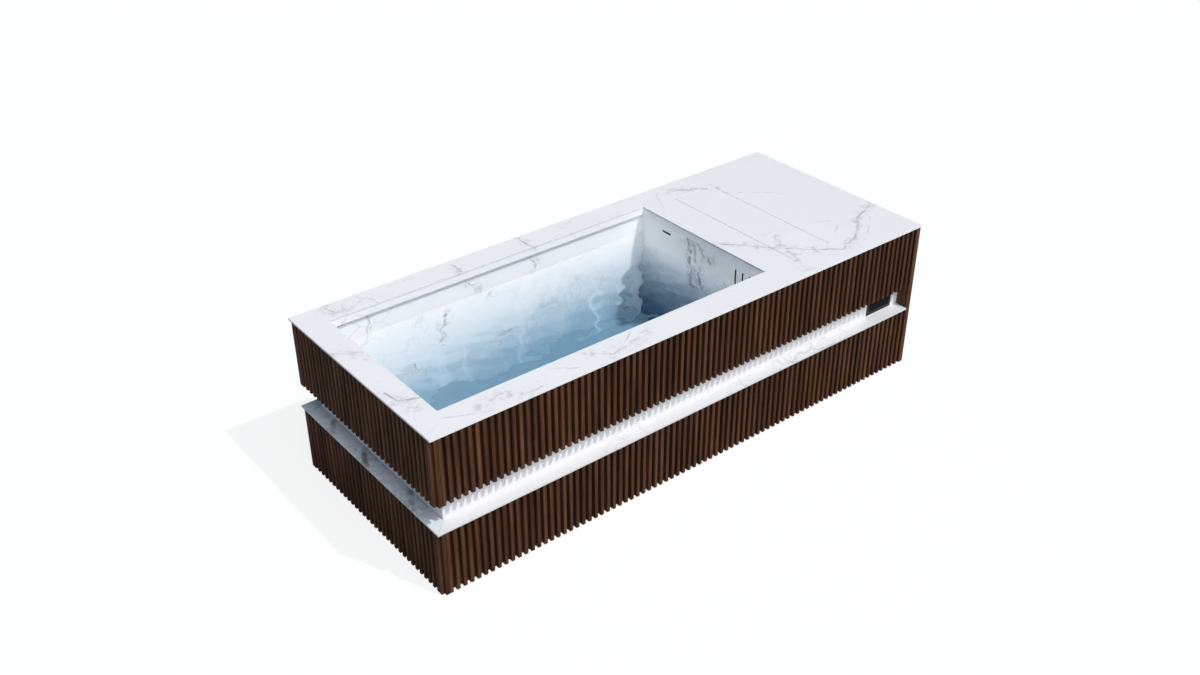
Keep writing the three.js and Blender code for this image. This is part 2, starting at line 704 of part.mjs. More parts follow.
const backRib = (x) => rib().rotateZ(-Math.PI / 2).translate(x, WIDTH, 0);
const beamLevels = [UNDER_SLAB - BEAM, UNDER_SLAB - GAP];
const beamYs = [BAND_BACK + 2, WIDTH - BAND_BACK - 2];
const beams = BEAMS_X.map((x) => block(centred(x, BEAM), beamYs, beamLevels));
piece(
  chassis,
  'steel_frame',
  'steel',
  join(
    ladder,
    ...RIBS_X.flatMap((x) => [frontRib(x), backRib(x)]),
    ...RIBS_Y.map((y) => rib().translate(0, y, 0)),
    ...beams,
  ),
);
const footProfile = [
  [0, 0],
  [FOOT_RADIUS, 0],
  [FOOT_RADIUS, FOOT_PAD / 2],
  [FOOT_RADIUS / 2, FOOT_PAD],
  [FOOT_RADIUS / 2, FRAME_BOTTOM - GAP],
  [0, FRAME_BOTTOM - GAP],
];
const footXs = [frameXs[0] + 2 * TUBE, (frameXs[0] + frameXs[1]) / 2, frameXs[1] - 2 * TUBE];
const footYs = [frameYs[0] + TUBE / 2, frameYs[1] - TUBE / 2];
footYs.forEach((y, row) => {
  footXs.forEach((x, column) => {
    const name = `levelling_foot_${row * footXs.length + column + 1}`;
    piece(chassis, name, 'rubber', turned(footProfile, 8), [x, y, 0]);
  });
});

// Equipment bay under the deck
const bay = assembly(corner, 'bay');
piece(
  bay,
  'equipment_tray',
  'steel',
  block([FOAM_OUT.right + 10, frameXs[1]], [ribDepths[2] + 6, WIDTH - ribDepths[2] - 6], [
    FRAME_TOP + GAP,
    TRAY_TOP,
  ]),
);

// Pump: wet end with its inlet and outlet collars, and the motor on its foot
const pump = assembly(bay, 'pump', [HATCH_X, SLOT_CENTRE, PUMP_Z]);
const pumpIn = -PUMP_LENGTH / 2 - COLLAR_LENGTH;
const pumpOut = PUMP_RADIUS + 1.4 * COLLAR_LENGTH;
piece(
  pump,
  'pump_wet_end',
  'black',
  join(
    rod('x', PUMP_RADIUS, -PUMP_LENGTH / 2, PUMP_LENGTH / 2, 16),
    rod('x', COLLAR, pumpIn, 0, 12),
    rod('z', COLLAR, 0, pumpOut, 12),
  ),
);
const motorXs = [PUMP_LENGTH / 2 + GAP, PUMP_LENGTH / 2 + GAP + MOTOR_LENGTH];
piece(
  pump,
  'pump_motor',
  'motor',
  join(
    rod('x', MOTOR_RADIUS, motorXs[0], motorXs[1], 14),
    block(within(motorXs, 30), centred(0, 1.6 * MOTOR_RADIUS), [STAND - PUMP_Z, -0.6 * MOTOR_RADIUS]),
    block(within(motorXs, 55), centred(0, MOTOR_RADIUS), [0.6 * MOTOR_RADIUS, 1.4 * MOTOR_RADIUS]),
  ),
);

// Filter: an open-topped housing, the pleated cartridge in it and a turn-lock lid on it
const filter = assembly(bay, 'filter', [HATCH_X, FILTER_Y, STAND]);
const filterBore = FILTER_RADIUS - FILTER_WALL;
piece(
  filter,
  'filter_housing',
  'housing',
  join(
    turned(
      [
        [0, 0],
        [FILTER_RADIUS, 0],
        [FILTER_RADIUS, FILTER_HEIGHT],
        [filterBore, FILTER_HEIGHT],
        [filterBore, FILTER_WALL],
        [0, FILTER_WALL],
      ],
      16,
    ),
    rod('y', COLLAR, -FILTER_REACH, -filterBore - 1, 12).translate(0, 0, FILTER_IN_Z - STAND),
    rod('x', COLLAR, filterBore + 1, FILTER_REACH, 12).translate(0, 0, FILTER_OUT_Z - STAND),
  ),
);
const pleats = Array.from({ length: 2 * PLEATS }, (_, i) => {
  const angle = (Math.PI * i) / PLEATS;
  const radius = i % 2 === 0 ? CARTRIDGE_RADIUS : 0.85 * CARTRIDGE_RADIUS;
  return [radius * Math.cos(angle), radius * Math.sin(angle)];
});
piece(filter, 'filter_cartridge', 'paper', prism(pleats, CARTRIDGE_HEIGHT), [0, 0, FILTER_WALL + GAP]);
const lidProfile = [
  [0, 0],
  [FILTER_RADIUS + 5, 0],
  [FILTER_RADIUS + 5, 20],
  [0.6 * FILTER_RADIUS, 34],
  [0, 34],
];
const lidBar = block(centred(0, 1.5 * FILTER_RADIUS), centred(0, 18), [30, 54]);
piece(filter, 'filter_lid', 'black', join(turned(lidProfile, 16), lidBar), [0, 0, FILTER_HEIGHT + GAP]);

// Drain valve and its lever
const valve = assembly(bay, 'drain_valve_set', [valveX, drainY, DRAIN_LEVEL]);
const stemTop = VALVE_RADIUS + 12;
piece(
  valve,
  'drain_valve',
  'copper',
  join(
    rod('x', VALVE_RADIUS, -VALVE_LENGTH / 2, VALVE_LENGTH / 2, 12),
    rod('x', DRAIN_TAIL, 0, 0.8 * VALVE_LENGTH, 12),
    rod('z', 6, 0, stemTop, 8),
  ),
);
const leverXs = [-LEVER_REACH, 12];
piece(valve, 'valve_lever', 'steel', block(leverXs, centred(0, 18), [0, 4]), [0, 0, stemTop + GAP]);

// Refrigeration: exchanger, compressor, condenser coil and fan
const chiller = assembly(bay, 'chiller', [CHILLER_X, 0, STAND]);
piece(
  chiller,
  'heat_exchanger',
  'pvc',
  join(
    turned(
      [
        [0, 0],
        [EXCHANGER_RADIUS, 0],
        [EXCHANGER_RADIUS, EXCHANGER_HEIGHT - 12],
        [EXCHANGER_RADIUS - 12, EXCHANGER_HEIGHT],
        [0, EXCHANGER_HEIGHT],
      ],
      12,
    ),
    rod('y', COLLAR, -EXCHANGER_REACH, 0, 12).translate(0, 0, FILTER_OUT_Z - STAND),
    rod('x', COLLAR, -EXCHANGER_REACH, 0, 12).translate(0, 0, EXCHANGER_OUT_Z - STAND),
    rod('z', LINE + 4, EXCHANGER_HEIGHT - 1, EXCHANGER_HEIGHT + STUB, 8),
    rod('x', LINE, 0, COIL_X - CHILLER_X - GAP, 8).translate(0, 0, 140),
  ),
  [0, SPOUT_CENTRE, 0],
);
const stubOffset = 25;
const compressorStub = (y) =>
  rod('z', LINE + 3, COMPRESSOR_HEIGHT - 1, COMPRESSOR_HEIGHT + STUB, 8).translate(0, y, 0);
piece(
  chiller,
  'compressor',
  'compressor',
  join(
    turned(
      [
        [0, 0],
        [COMPRESSOR_RADIUS + 10, 0],
        [COMPRESSOR_RADIUS + 10, 6],
        [COMPRESSOR_RADIUS, 12],
        [COMPRESSOR_RADIUS, 0.8 * COMPRESSOR_HEIGHT],
        [0.82 * COMPRESSOR_RADIUS, 0.95 * COMPRESSOR_HEIGHT],
        [0.5 * COMPRESSOR_RADIUS, COMPRESSOR_HEIGHT],
        [0, COMPRESSOR_HEIGHT],
      ],
      14,
    ),
    compressorStub(-stubOffset),
    compressorStub(stubOffset),
  ),
  [0, COMPRESSOR_Y, 0],
);
const coil = assembly(bay, 'condenser', [COIL_X, FAN_Y, STAND]);
const coilYs = centred(0, COIL_WIDTH);
piece(coil, 'condenser_coil', 'aluminium', block([0, COIL_DEPTH], coilYs, [0, COIL_HEIGHT]));
const shroudX = COIL_DEPTH + GAP;
const fanHole = rod('x', FAN_RADIUS + FAN_CLEAR, 0, 3 * SHROUD_DEPTH, 20).translate(0, 0, FAN_Z - STAND);
piece(
  coil,
  'fan_shroud',
  'steel',
  cut(block([shroudX, shroudX + SHROUD_DEPTH], coilYs, [0, COIL_HEIGHT]), fanHole),
);

// Fan: a hub with pitched blades that turns on the motor's shaft, and the motor on four arms over the shroud
const shroudFace = shroudX + SHROUD_DEPTH;
const fan = assembly(coil, 'fan', [shroudFace, 0, FAN_Z - STAND]);
const hubXs = [-SHROUD_DEPTH + 10, -3];
const bladeMiddle = (hubXs[0] + hubXs[1]) / 2;
const bladeOutline = [
  [-22, 0.7 * FAN_HUB],
  [22, 0.7 * FAN_HUB],
  [62, FAN_RADIUS - 22],
  [40, FAN_RADIUS - 7],
  [-30, FAN_RADIUS - 5],
];
const blade = (i) =>
  prism(bladeOutline, 2.5)
    .rotateY(Math.PI / 2 + BLADE_PITCH)
    .rotateX((2 * Math.PI * i) / BLADES)
    .translate(bladeMiddle, 0, 0);
const blades = Array.from({ length: BLADES }, (_, i) => blade(i));
piece(fan, 'fan_rotor', 'black', join(rod('x', FAN_HUB, hubXs[0], hubXs[1], 12), ...blades));
const arm = (angle) =>
  block([GAP, 7], centred(0, 14), [0, FAN_RADIUS + FAN_CLEAR + 18]).rotateX(angle);
piece(
  fan,
  'fan_motor',
  'motor',
  join(
    rod('x', FAN_HUB - 3, GAP, 42, 12),
    rod('x', 6, hubXs[1] + GAP, 1, 8),
    ...[1, 3, 5, 7].map((eighth) => arm((eighth * Math.PI) / 4)),
  ),
);

// Control box with its cord gland
const boxXs = [CHILLER_X + 50, CHILLER_X + 220];
const boxYs = [BAND_BACK + DISPLAY_DEPTH, BAND_BACK + DISPLAY_DEPTH + 90];
const gland = rod('x', 12, boxXs[1] - 1, boxXs[1] + 20, 10);
piece(
  bay,
  'control_box',
  'motor',
  join(block(boxXs, boxYs, [STAND, 290]), gland.translate(0, boxYs[1] - 30, 120)),
);

// Pipes of the water circuit, in the order that the water runs
const plumbing = assembly(bay, 'plumbing');
const suctionTop = skimmerOutZs[0] - COLLAR_LENGTH - GAP;
const pumpInX = HATCH_X + pumpIn - GAP;
const pumpOutZ = PUMP_Z + pumpOut + GAP;
const filterInY = FILTER_Y - FILTER_REACH - GAP;
const filterOutX = HATCH_X + FILTER_REACH + GAP;
const exchangerInY = SPOUT_CENTRE - EXCHANGER_REACH - GAP;
const exchangerOutX = CHILLER_X - EXCHANGER_REACH - GAP;
const spoutX = spoutBack + COLLAR_LENGTH + GAP;
const routes = {
  suction_pipe: [
    [skimmerOutX, SLOT_CENTRE, suctionTop],
    [skimmerOutX, SLOT_CENTRE, PUMP_Z],
    [pumpInX, SLOT_CENTRE, PUMP_Z],
  ],
  pump_pipe: [
    [HATCH_X, SLOT_CENTRE, pumpOutZ],
    [HATCH_X, SLOT_CENTRE, FILTER_IN_Z],
    [HATCH_X, filterInY, FILTER_IN_Z],
  ],
  filter_pipe: [
    [filterOutX, FILTER_Y, FILTER_OUT_Z],
    [CHILLER_X, FILTER_Y, FILTER_OUT_Z],
    [CHILLER_X, exchangerInY, FILTER_OUT_Z],
  ],
  return_pipe: [
    [exchangerOutX, SPOUT_CENTRE, EXCHANGER_OUT_Z],
    [spoutX + BEND + 5, SPOUT_CENTRE, EXCHANGER_OUT_Z],
    [spoutX + BEND + 5, SPOUT_CENTRE, SPOUT_LEVEL],
    [spoutX, SPOUT_CENTRE, SPOUT_LEVEL],
  ],
};
for (const [name, corners] of Object.entries(routes)) {
  piece(plumbing, name, 'pvc', pipe(corners, PIPE, BEND, 8));
}

// Refrigerant lines over the top of the compressor, coil and exchanger
const stubTop = STAND + COMPRESSOR_HEIGHT + STUB + GAP;
const gasY = COMPRESSOR_Y - stubOffset;
const vapourY = COMPRESSOR_Y + stubOffset;
const coilMiddle = COIL_X + COIL_DEPTH / 2;
const coilTop = STAND + COIL_HEIGHT + GAP;
const exchangerTop = STAND + EXCHANGER_HEIGHT + STUB + GAP;
const lines = {
  hot_gas_line: [
    [CHILLER_X, gasY, stubTop],
    [CHILLER_X, gasY, coilTop + LINE_BEND + STUB],
    [coilMiddle, gasY, coilTop + LINE_BEND + STUB],
    [coilMiddle, gasY, coilTop],
  ],
  suction_line: [
    [CHILLER_X, vapourY, stubTop],
    [CHILLER_X, vapourY, exchangerTop + LINE_BEND + STUB],
    [CHILLER_X, SPOUT_CENTRE, exchangerTop + LINE_BEND + STUB],
    [CHILLER_X, SPOUT_CENTRE, exchangerTop],
  ],
};
for (const [name, corners] of Object.entries(lines)) {
  piece(plumbing, name, 'copper', pipe(corners, LINE, LINE_BEND, 6));
}

export default tub;
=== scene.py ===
"""Looks of the cold plunge tub: stone top and basin, walnut slats, water, display and cooling bay.

Sizes are metres. Places are in the row frame, whose origin is on the ground under the middle of the slab.
"""

import logging
from collections.abc import Callable
from dataclasses import dataclass, replace
from enum import Enum
from functools import cache
from typing import Self

import bmesh
import bpy
import numpy as np
from mathutils import Matrix, Vector


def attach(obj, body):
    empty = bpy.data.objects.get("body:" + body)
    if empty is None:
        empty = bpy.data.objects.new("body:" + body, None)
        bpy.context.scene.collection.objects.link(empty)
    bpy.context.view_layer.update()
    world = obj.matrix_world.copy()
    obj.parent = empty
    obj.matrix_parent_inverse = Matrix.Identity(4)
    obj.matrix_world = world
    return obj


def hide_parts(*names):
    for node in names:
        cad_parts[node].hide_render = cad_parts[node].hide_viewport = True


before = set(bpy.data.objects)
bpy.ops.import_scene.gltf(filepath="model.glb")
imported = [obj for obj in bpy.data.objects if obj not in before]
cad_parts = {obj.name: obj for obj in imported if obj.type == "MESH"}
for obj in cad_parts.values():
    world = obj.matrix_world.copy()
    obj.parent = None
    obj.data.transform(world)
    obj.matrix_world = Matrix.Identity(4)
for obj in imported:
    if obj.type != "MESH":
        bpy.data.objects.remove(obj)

log = logging.getLogger("plunge_tub")

LENGTH = 2.5
WIDTH = 1.01
HEIGHT = 0.7
WATER_LEVEL = 0.569
LEDGE_TOP = 0.295
BASIN_RIGHT = 1.692
BASIN_BACK = 0.909

Colour = tuple[float, float, float]
Point = tuple[float, float, float]
Strokes = tuple[tuple[tuple[float, float], ...], ...]
Socket = bpy.types.NodeSocket

WHITE: Colour = (1.0, 1.0, 1.0)
BLACK: Colour = (0.0, 0.0, 0.0)


class Body(str, Enum):
    """The bodies that pieces ride on."""

    TUB = "tub"
    HATCH = "hatch"
    END_PANEL = "end_panel"


class Side(Enum):
    """A clad side of the tub, as the quarter turns that carry the front on to it."""

    FRONT = 0
    RIGHT = 1
    BACK = 2
    LEFT = 3


class End(Enum):
    """How a slat panel ends: mitred at a corner, one groove short, or with a slat."""

    MITRE = "mitre"
    OPEN = "open"
    FLUSH = "flush"


def corner_point(x: float, y: float, z: float) -> Point:
    """Moves a point from the slab's front left corner, in metres, to the row frame.

    Args:
        x: Distance from the left edge of the slab.
        y: Distance from the front edge of the slab.
        z: Height over the ground.

    Returns:
        The same point in the row frame.
    """
    return (x - LENGTH / 2, y - WIDTH / 2, z)


def rgba(colour: Colour) -> tuple[float, float, float, float]:
    """Adds full opacity to a linear colour."""
    return (*colour, 1.0)


class NodeTree:
    """Short spelling for adding and linking nodes in one tree."""

    def __init__(self, tree: bpy.types.NodeTree) -> None:
        """Wraps the tree of a group, a material or the world."""
        self.tree = tree

    @classmethod
    def emptied(cls, owner: bpy.types.Material | bpy.types.World) -> Self:
        """Wraps the tree of a material or the world with no nodes left in it."""
        owner.use_nodes = True
        owner.node_tree.nodes.clear()
        return cls(owner.node_tree)

    def fill(self, node: bpy.types.Node, inputs: dict) -> None:
        """Sets inputs of a node, or links those whose value is a socket.

        Args:
            node: A node of this tree.
            inputs: Input name or index to a value, or to a socket to link from.
        """
        for key, value in inputs.items():
            if isinstance(value, Socket):
                self.tree.links.new(value, node.inputs[key])
            else:
                node.inputs[key].default_value = value

    def add(self, kind: str, inputs: dict | None = None, **settings: object) -> bpy.types.Node:
        """Adds a node, sets its properties and fills its inputs.

        Args:
            kind: Node type, without the ShaderNode prefix.
            inputs: What fill takes.
            settings: Properties of the node.

        Returns:
            The new node.
        """
        node = self.tree.nodes.new(kind if kind.startswith("Node") else "ShaderNode" + kind)
        for key, value in settings.items():
            setattr(node, key, value)
        self.fill(node, inputs or {})
        return node

    def place(self) -> Socket:
        """Gives the coordinates of the row frame, with the part at rest."""
        return self.add("TexCoord").outputs["Object"]

    def group(self, tree: bpy.types.NodeTree, **inputs: object) -> Socket:
        """Adds a node group and gives its one output."""
        return self.add("Group", inputs, node_tree=tree).outputs[0]

    def bump(self, height: Socket, strength: float, distance: float) -> Socket:
        """Turns a height into a bumped normal."""
        inputs = {"Strength": strength, "Distance": distance, "Height": height}
        return self.add("Bump", inputs).outputs["Normal"]

    def math(self, operation: str, a: object, b: object = 0.0, clamp: bool = False) -> Socket:
        """Adds a Math node on two values or sockets and gives its result."""
        return self.add("Math", {0: a, 1: b}, operation=operation, use_clamp=clamp).outputs[0]

    def vector(self, operation: str, a: object, b: object = (0.0, 0.0, 0.0)) -> Socket:
        """Adds a Vector Math node and gives its vector, or its value for a dot product or length."""
        node = self.add("VectorMath", {0: a, 1: b}, operation=operation)
        return node.outputs["Value" if operation in ("DOT_PRODUCT", "LENGTH") else "Vector"]

    def scaled(self, vector: object, scale: object) -> Socket:
        """Scales a vector by a number or socket."""
        return self.add("VectorMath", {0: vector, "Scale": scale}, operation="SCALE").outputs[0]

    def mix(self, factor: object, a: object, b: object) -> Socket:
        """Mixes two colours by the share of the second."""
        return self.add("Mix", {"Factor": factor, 6: a, 7: b}, data_type="RGBA").outputs[2]

    def span(self, value: object, low: float, high: float, to_low: float, to_high: float) -> Socket:
        """Maps a value smoothly from the range low to high on to the range to_low to to_high."""
        inputs = {"Value": value, "From Min": low, "From Max": high, "To Min": to_low, "To Max": to_high}
        return self.add("MapRange", inputs, interpolation_type="SMOOTHSTEP").outputs["Result"]

    def noise(self, vector: object, scale: object, detail: float = 4.0, rough: float = 0.55) -> Socket:
        """Adds a noise texture with a scale in cells per metre and gives its value."""
        inputs = {"Vector": vector, "Scale": scale, "Detail": detail, "Roughness": rough}
        return self.add("TexNoise", inputs).outputs["Fac"]


class Groups:
    """Node groups that several finishes share, each built once."""

    @staticmethod
    def start(
        name: str, inputs: dict[str, str], output: str
    ) -> tuple[NodeTree, bpy.types.NodeOutputs, bpy.types.Node]:
        """Starts a group with its sockets.

        Args:
            name: Name of the group.
            inputs: Socket name to its kind, Vector or Float.
            output: Name of the one value that it puts out.

        Returns:
            The tree's helper, the sockets that come in and the output node.
        """
        tree = bpy.data.node_groups.new(name, "ShaderNodeTree")
        for key, kind in inputs.items():
            tree.interface.new_socket(key, in_out="INPUT", socket_type="NodeSocket" + kind)
        tree.interface.new_socket(output, in_out="OUTPUT", socket_type="NodeSocketFloat")
        nodes = NodeTree(tree)
        return nodes, nodes.add("NodeGroupInput").outputs, nodes.add("NodeGroupOutput")

    @staticmethod
    @cache
    def vein_web() -> bpy.types.NodeTree:
        """Fine broken veins: the edges of warped cells, kept only where a broad noise is high.

        Returns:
            A group from Vector, Scale, Warp and Cover to Mask.
        """
        inputs = {"Vector": "Vector", "Scale": "Float", "Warp": "Float", "Cover": "Float"}
        nodes, given, result = Groups.start("vein_web", inputs, "Mask")
        bend = nodes.add("TexNoise", {"Vector": given["Vector"], "Scale": 2.6, "Detail": 5.0})
        centred = nodes.vector("SUBTRACT", bend.outputs["Color"], (0.5, 0.5, 0.5))
        warped = nodes.vector("ADD", given["Vector"], nodes.scaled(centred, given["Warp"]))
        inputs = {"Vector": warped, "Scale": given["Scale"]}
        cells = nodes.add("TexVoronoi", inputs, feature="DISTANCE_TO_EDGE")
        line = nodes.span(cells.outputs["Distance"], 0.0, 0.035, 1.0, 0.0)
        patch = nodes.noise(given["Vector"], 1.9, 3.0)
        shown = nodes.math("SUBTRACT", patch, given["Cover"])
        shown = nodes.math("MULTIPLY", shown, 7.0, clamp=True)
        nodes.fill(result, {"Mask": nodes.math("MULTIPLY", line, shown)})
        return nodes.tree

    @staticmethod
    @cache
    def vein_line() -> bpy.types.NodeTree:
        """One vein: nearness to the segment from Start to End, fading over Width.

        Returns:
            A group from Vector, Start, End and Width to Mask.
        """
        inputs = {"Vector": "Vector", "Start": "Vector", "End": "Vector", "Width": "Float"}
        nodes, given, result = Groups.start("vein_line", inputs, "Mask")
        along = nodes.vector("SUBTRACT", given["End"], given["Start"])
        reach = nodes.vector("SUBTRACT", given["Vector"], given["Start"])
        ahead, square = (nodes.vector("DOT_PRODUCT", other, along) for other in (reach, along))
        nearest = nodes.scaled(along, nodes.math("DIVIDE", ahead, square, clamp=True))
        gap = nodes.vector("LENGTH", nodes.vector("SUBTRACT", reach, nearest))
        falloff = nodes.math("DIVIDE", gap, given["Width"])
        nodes.fill(result, {"Mask": nodes.span(falloff, 0.0, 1.0, 1.0, 0.0)})
        return nodes.tree

    @staticmethod
    @cache
    def mottle() -> bpy.types.NodeTree:
        """Broad and fine unevenness in one value around a half.

        Returns:
            A group from Vector, Scale and Fine to Value.
        """
        inputs = {"Vector": "Vector", "Scale": "Float", "Fine": "Float"}
        nodes, given, result = Groups.start("mottle", inputs, "Value")
        broad = nodes.noise(given["Vector"], given["Scale"], 3.0, 0.5)
        fine = nodes.noise(given["Vector"], given["Fine"], 6.0, 0.5)
        value = nodes.math("ADD", nodes.math("MULTIPLY", broad, 0.6), nodes.math("MULTIPLY", fine, 0.4))
        nodes.fill(result, {"Value": value})
        return nodes.tree


class MaterialTree(NodeTree):
    """A material's nodes: a Principled BSDF, its output and what a finish adds."""

    def __init__(self, tree: bpy.types.NodeTree) -> None:
        """Adds the shader and the output."""
        super().__init__(tree)
        self.shader = self.add("BsdfPrincipled")
        self.output = self.add("OutputMaterial", {"Surface": self.shader.outputs["BSDF"]})

    def shade(self, inputs: dict) -> None:
        """Fills inputs of the shader."""
        self.fill(self.shader, inputs)


@dataclass(frozen=True)
class Finish:
    """Base of the finishes: a named material that is built on first use."""

    name: str

    def material(self) -> bpy.types.Material:
        """Gives the material, building it the first time.

        Returns:
            The material of this finish.
        """
        found = bpy.data.materials.get(self.name)
        if found is None:
            found = bpy.data.materials.new(self.name)
            self.dress(MaterialTree.emptied(found))
        return found

    def dress(self, nodes: MaterialTree) -> None:
        """Adds the finish's own nodes.

        Args:
            nodes: Tree of the material.
        """
        raise NotImplementedError


@dataclass(frozen=True)
class VeinSet:
    """Veins of one kind, each through listed points of the row frame, with crackled stone near them."""

    lines: tuple[tuple[Point, ...], ...]
    width: float
    strength: float
    halo: float = 0.0


def traced(strokes: Strokes, place: Callable[[float, float], Point]) -> tuple[tuple[Point, ...], ...]:
    """Carries veins that are drawn on a face to the row frame."""
    return tuple(tuple(place(*turn) for turn in stroke) for stroke in strokes)


@dataclass(frozen=True)
class Marble(Finish):
    """Honed light stone with fine broken veins and chosen longer ones.

    Each of webs gives the scale, the warp and the share of a web of fine veins. Stone below the water can
    take painted shade in the colour tint, which grows from the height underwater_shade_from down to
    underwater_shade_full and stands in for the blue of the water and the shade deep in the basin. Both
    heights hold at level_at along the tub and rise by tilt for each metre to the right, so the painted shade
    is deeper to the right. Glow is painted
    light: a faint emission of the stone's own colour that stands in for bounced light, faded over the
    heights of painted_glow_span. Pale upright bands of painted light, as strong as streaks and faded out
    upwards over the heights of painted_caustic_span, stand in for caustics. Stone further right than
    slot_shade_behind takes the colour dark, as painted shade inside the slots of the wall.
    """

    colour: Colour = (0.862, 0.852, 0.870)
    cloud: tuple[float, float] = (2.2, 14.0)
    cloud_spread: tuple[float, float] = (0.99, 1.004)
    gloss: tuple[float, float] = (0.26, 0.36)
    vein: Colour = (0.36, 0.34, 0.335)
    web: float = 0.4
    webs: tuple[tuple[float, float, float], ...] = ((4.5, 0.5, 1.0), (11.0, 0.28, 0.55))
    cover: float = 0.56
    veins: tuple[VeinSet, ...] = ()
    sway: float = 0.05
    painted_caustics: float = 0.0
    painted_caustic_span: tuple[float, float] = (0.24, 0.42)
    underwater_shade: Colour | None = None
    underwater_shade_from: float = 0.44
    underwater_shade_full: float = 0.06
    tilt: float = 0.0
    level_at: float = -0.59
    glow: float = 0.0
    painted_glow_span: tuple[float, float, float, float] = (0.0, 1.0, 1.0, 1.0)
    slot_shade_behind: float | None = None
    dark: Colour = (0.004, 0.004, 0.005)

    def dress(self, nodes: MaterialTree) -> None:
        """Builds cloudy ground and veins, then the painted shade, caustics, slot shade and glow that are
        set.

        Args:
            nodes: Tree of the material.
        """
        place = nodes.place()
        parts = nodes.add("SeparateXYZ", {"Vector": place}).outputs
        level = parts["Z"]
        cloud = nodes.group(Groups.mottle(), Vector=place, Scale=self.cloud[0], Fine=self.cloud[1])
        deep, pale = (tuple(min(1.0, share * c) for c in self.colour) for share in self.cloud_spread)
        ground = nodes.mix(nodes.span(cloud, 0.4, 0.62, 0.0, 1.0), rgba(deep), rgba(pale))
        colour = nodes.mix(self.vein_mask(nodes, place), ground, rgba(self.vein))
        # Painted shade: below the water the stone turns towards the colour tint, deeper towards the right.
        if self.underwater_shade:
            beside = nodes.math("SUBTRACT", parts["X"], self.level_at)
            sunk = nodes.math("SUBTRACT", level, nodes.math("MULTIPLY", beside, self.tilt))
            share = nodes.span(sunk, self.underwater_shade_full, self.underwater_shade_from, 1.0, 0.0)
            colour = nodes.mix(share, colour, rgba(self.underwater_shade))
        # Painted light: pale upright bands on the lower stone stand in for caustics.
        if self.painted_caustics:
            upright = nodes.vector("MULTIPLY", place, (1.0, 1.0, 0.04))
            lit = nodes.span(nodes.noise(upright, 13.0, 1.0), 0.50, 0.74, 0.0, self.painted_caustics)
            lit = nodes.math("MULTIPLY", lit, nodes.span(level, *self.painted_caustic_span, 1.0, 0.0))
            colour = nodes.mix(lit, colour, rgba(WHITE))
        # Painted shade: stone behind the wall's face, seen inside its slots, is made near black.
        if self.slot_shade_behind is not None:
            in_slot_shade = nodes.math("GREATER_THAN", parts["X"], self.slot_shade_behind)
            colour = nodes.mix(in_slot_shade, colour, rgba(self.dark))
        # Painted light: a faint emission of the stone's own colour stands in for bounced light.
        if self.glow:
            shown = nodes.mix(nodes.span(level, *self.painted_glow_span), rgba(BLACK), colour)
            nodes.shade({"Emission Strength": self.glow, "Emission Color": shown})
        nodes.shade({"Base Color": colour, "Roughness": nodes.span(cloud, 0.35, 0.65, *self.gloss)})

    def vein_mask(self, nodes: NodeTree, place: Socket) -> Socket:
        """Joins two webs of fine veins with the chosen veins, which sway, break up and have crackled edges.

        Args:
            nodes: Tree of the material.
            place: Coordinates in the row frame.

        Returns:
            The share of the vein's colour.
        """
        mask = 0.0
        for scale, warp, share in self.webs:
            web = nodes.group(Groups.vein_web(), Vector=place, Scale=scale, Warp=warp, Cover=self.cover)
            mask = nodes.math("MAXIMUM", mask, nodes.math("MULTIPLY", web, share * self.web))
        if not self.veins:
            return mask
        bend = nodes.add("TexNoise", {"Vector": place, "Scale": 7.0, "Detail": 6.0, "Roughness": 0.62})
        sway = nodes.vector("SUBTRACT", bend.outputs["Color"], (0.5, 0.5, 0.5))
        warped = nodes.vector("ADD", place, nodes.scaled(sway, self.sway))
        broken = nodes.span(nodes.noise(place, 16.0, 3.0), 0.3, 0.62, 0.25, 1.0)
        crackle = nodes.group(Groups.vein_web(), Vector=warped, Scale=38.0, Warp=0.06, Cover=0.42)
        soft = nodes.span(nodes.noise(warped, 30.0, 5.0), 0.47, 0.66, 0.0, 0.5)
        crackle = nodes.math("MAXIMUM", nodes.math("MULTIPLY", crackle, 0.6), soft)
        for veins in self.veins:
            near = self.nearness(nodes, warped, veins)
            if veins.halo:
                mask = nodes.math("MAXIMUM", mask, nodes.math("MULTIPLY", near, crackle))
                core = 1.0 - veins.width / veins.halo
                near = nodes.span(near, core * core * (3.0 - 2.0 * core), 1.0, 0.0, 1.0)
            line = nodes.math("MULTIPLY", nodes.math("MULTIPLY", near, broken), veins.strength)
            mask = nodes.math("MAXIMUM", mask, line)
        return mask

    @staticmethod
    def nearness(nodes: NodeTree, place: Socket, veins: VeinSet) -> Socket:
        """Nearness to the closest vein of a set.

        Args:
            nodes: Tree of the material.
            place: Coordinates in the row frame.
            veins: The set of veins.

        Returns:
            A value that is 1 on a vein and 0 from the set's halo or width on.
        """
        near = 0.0
        reach = max(veins.width, veins.halo)
        for line in veins.lines:
            for start, end in zip(line, line[1:]):
                one = nodes.group(Groups.vein_line(), Vector=place, Start=start, End=end, Width=reach)
                near = nodes.math("MAXIMUM", near, one)
        return near


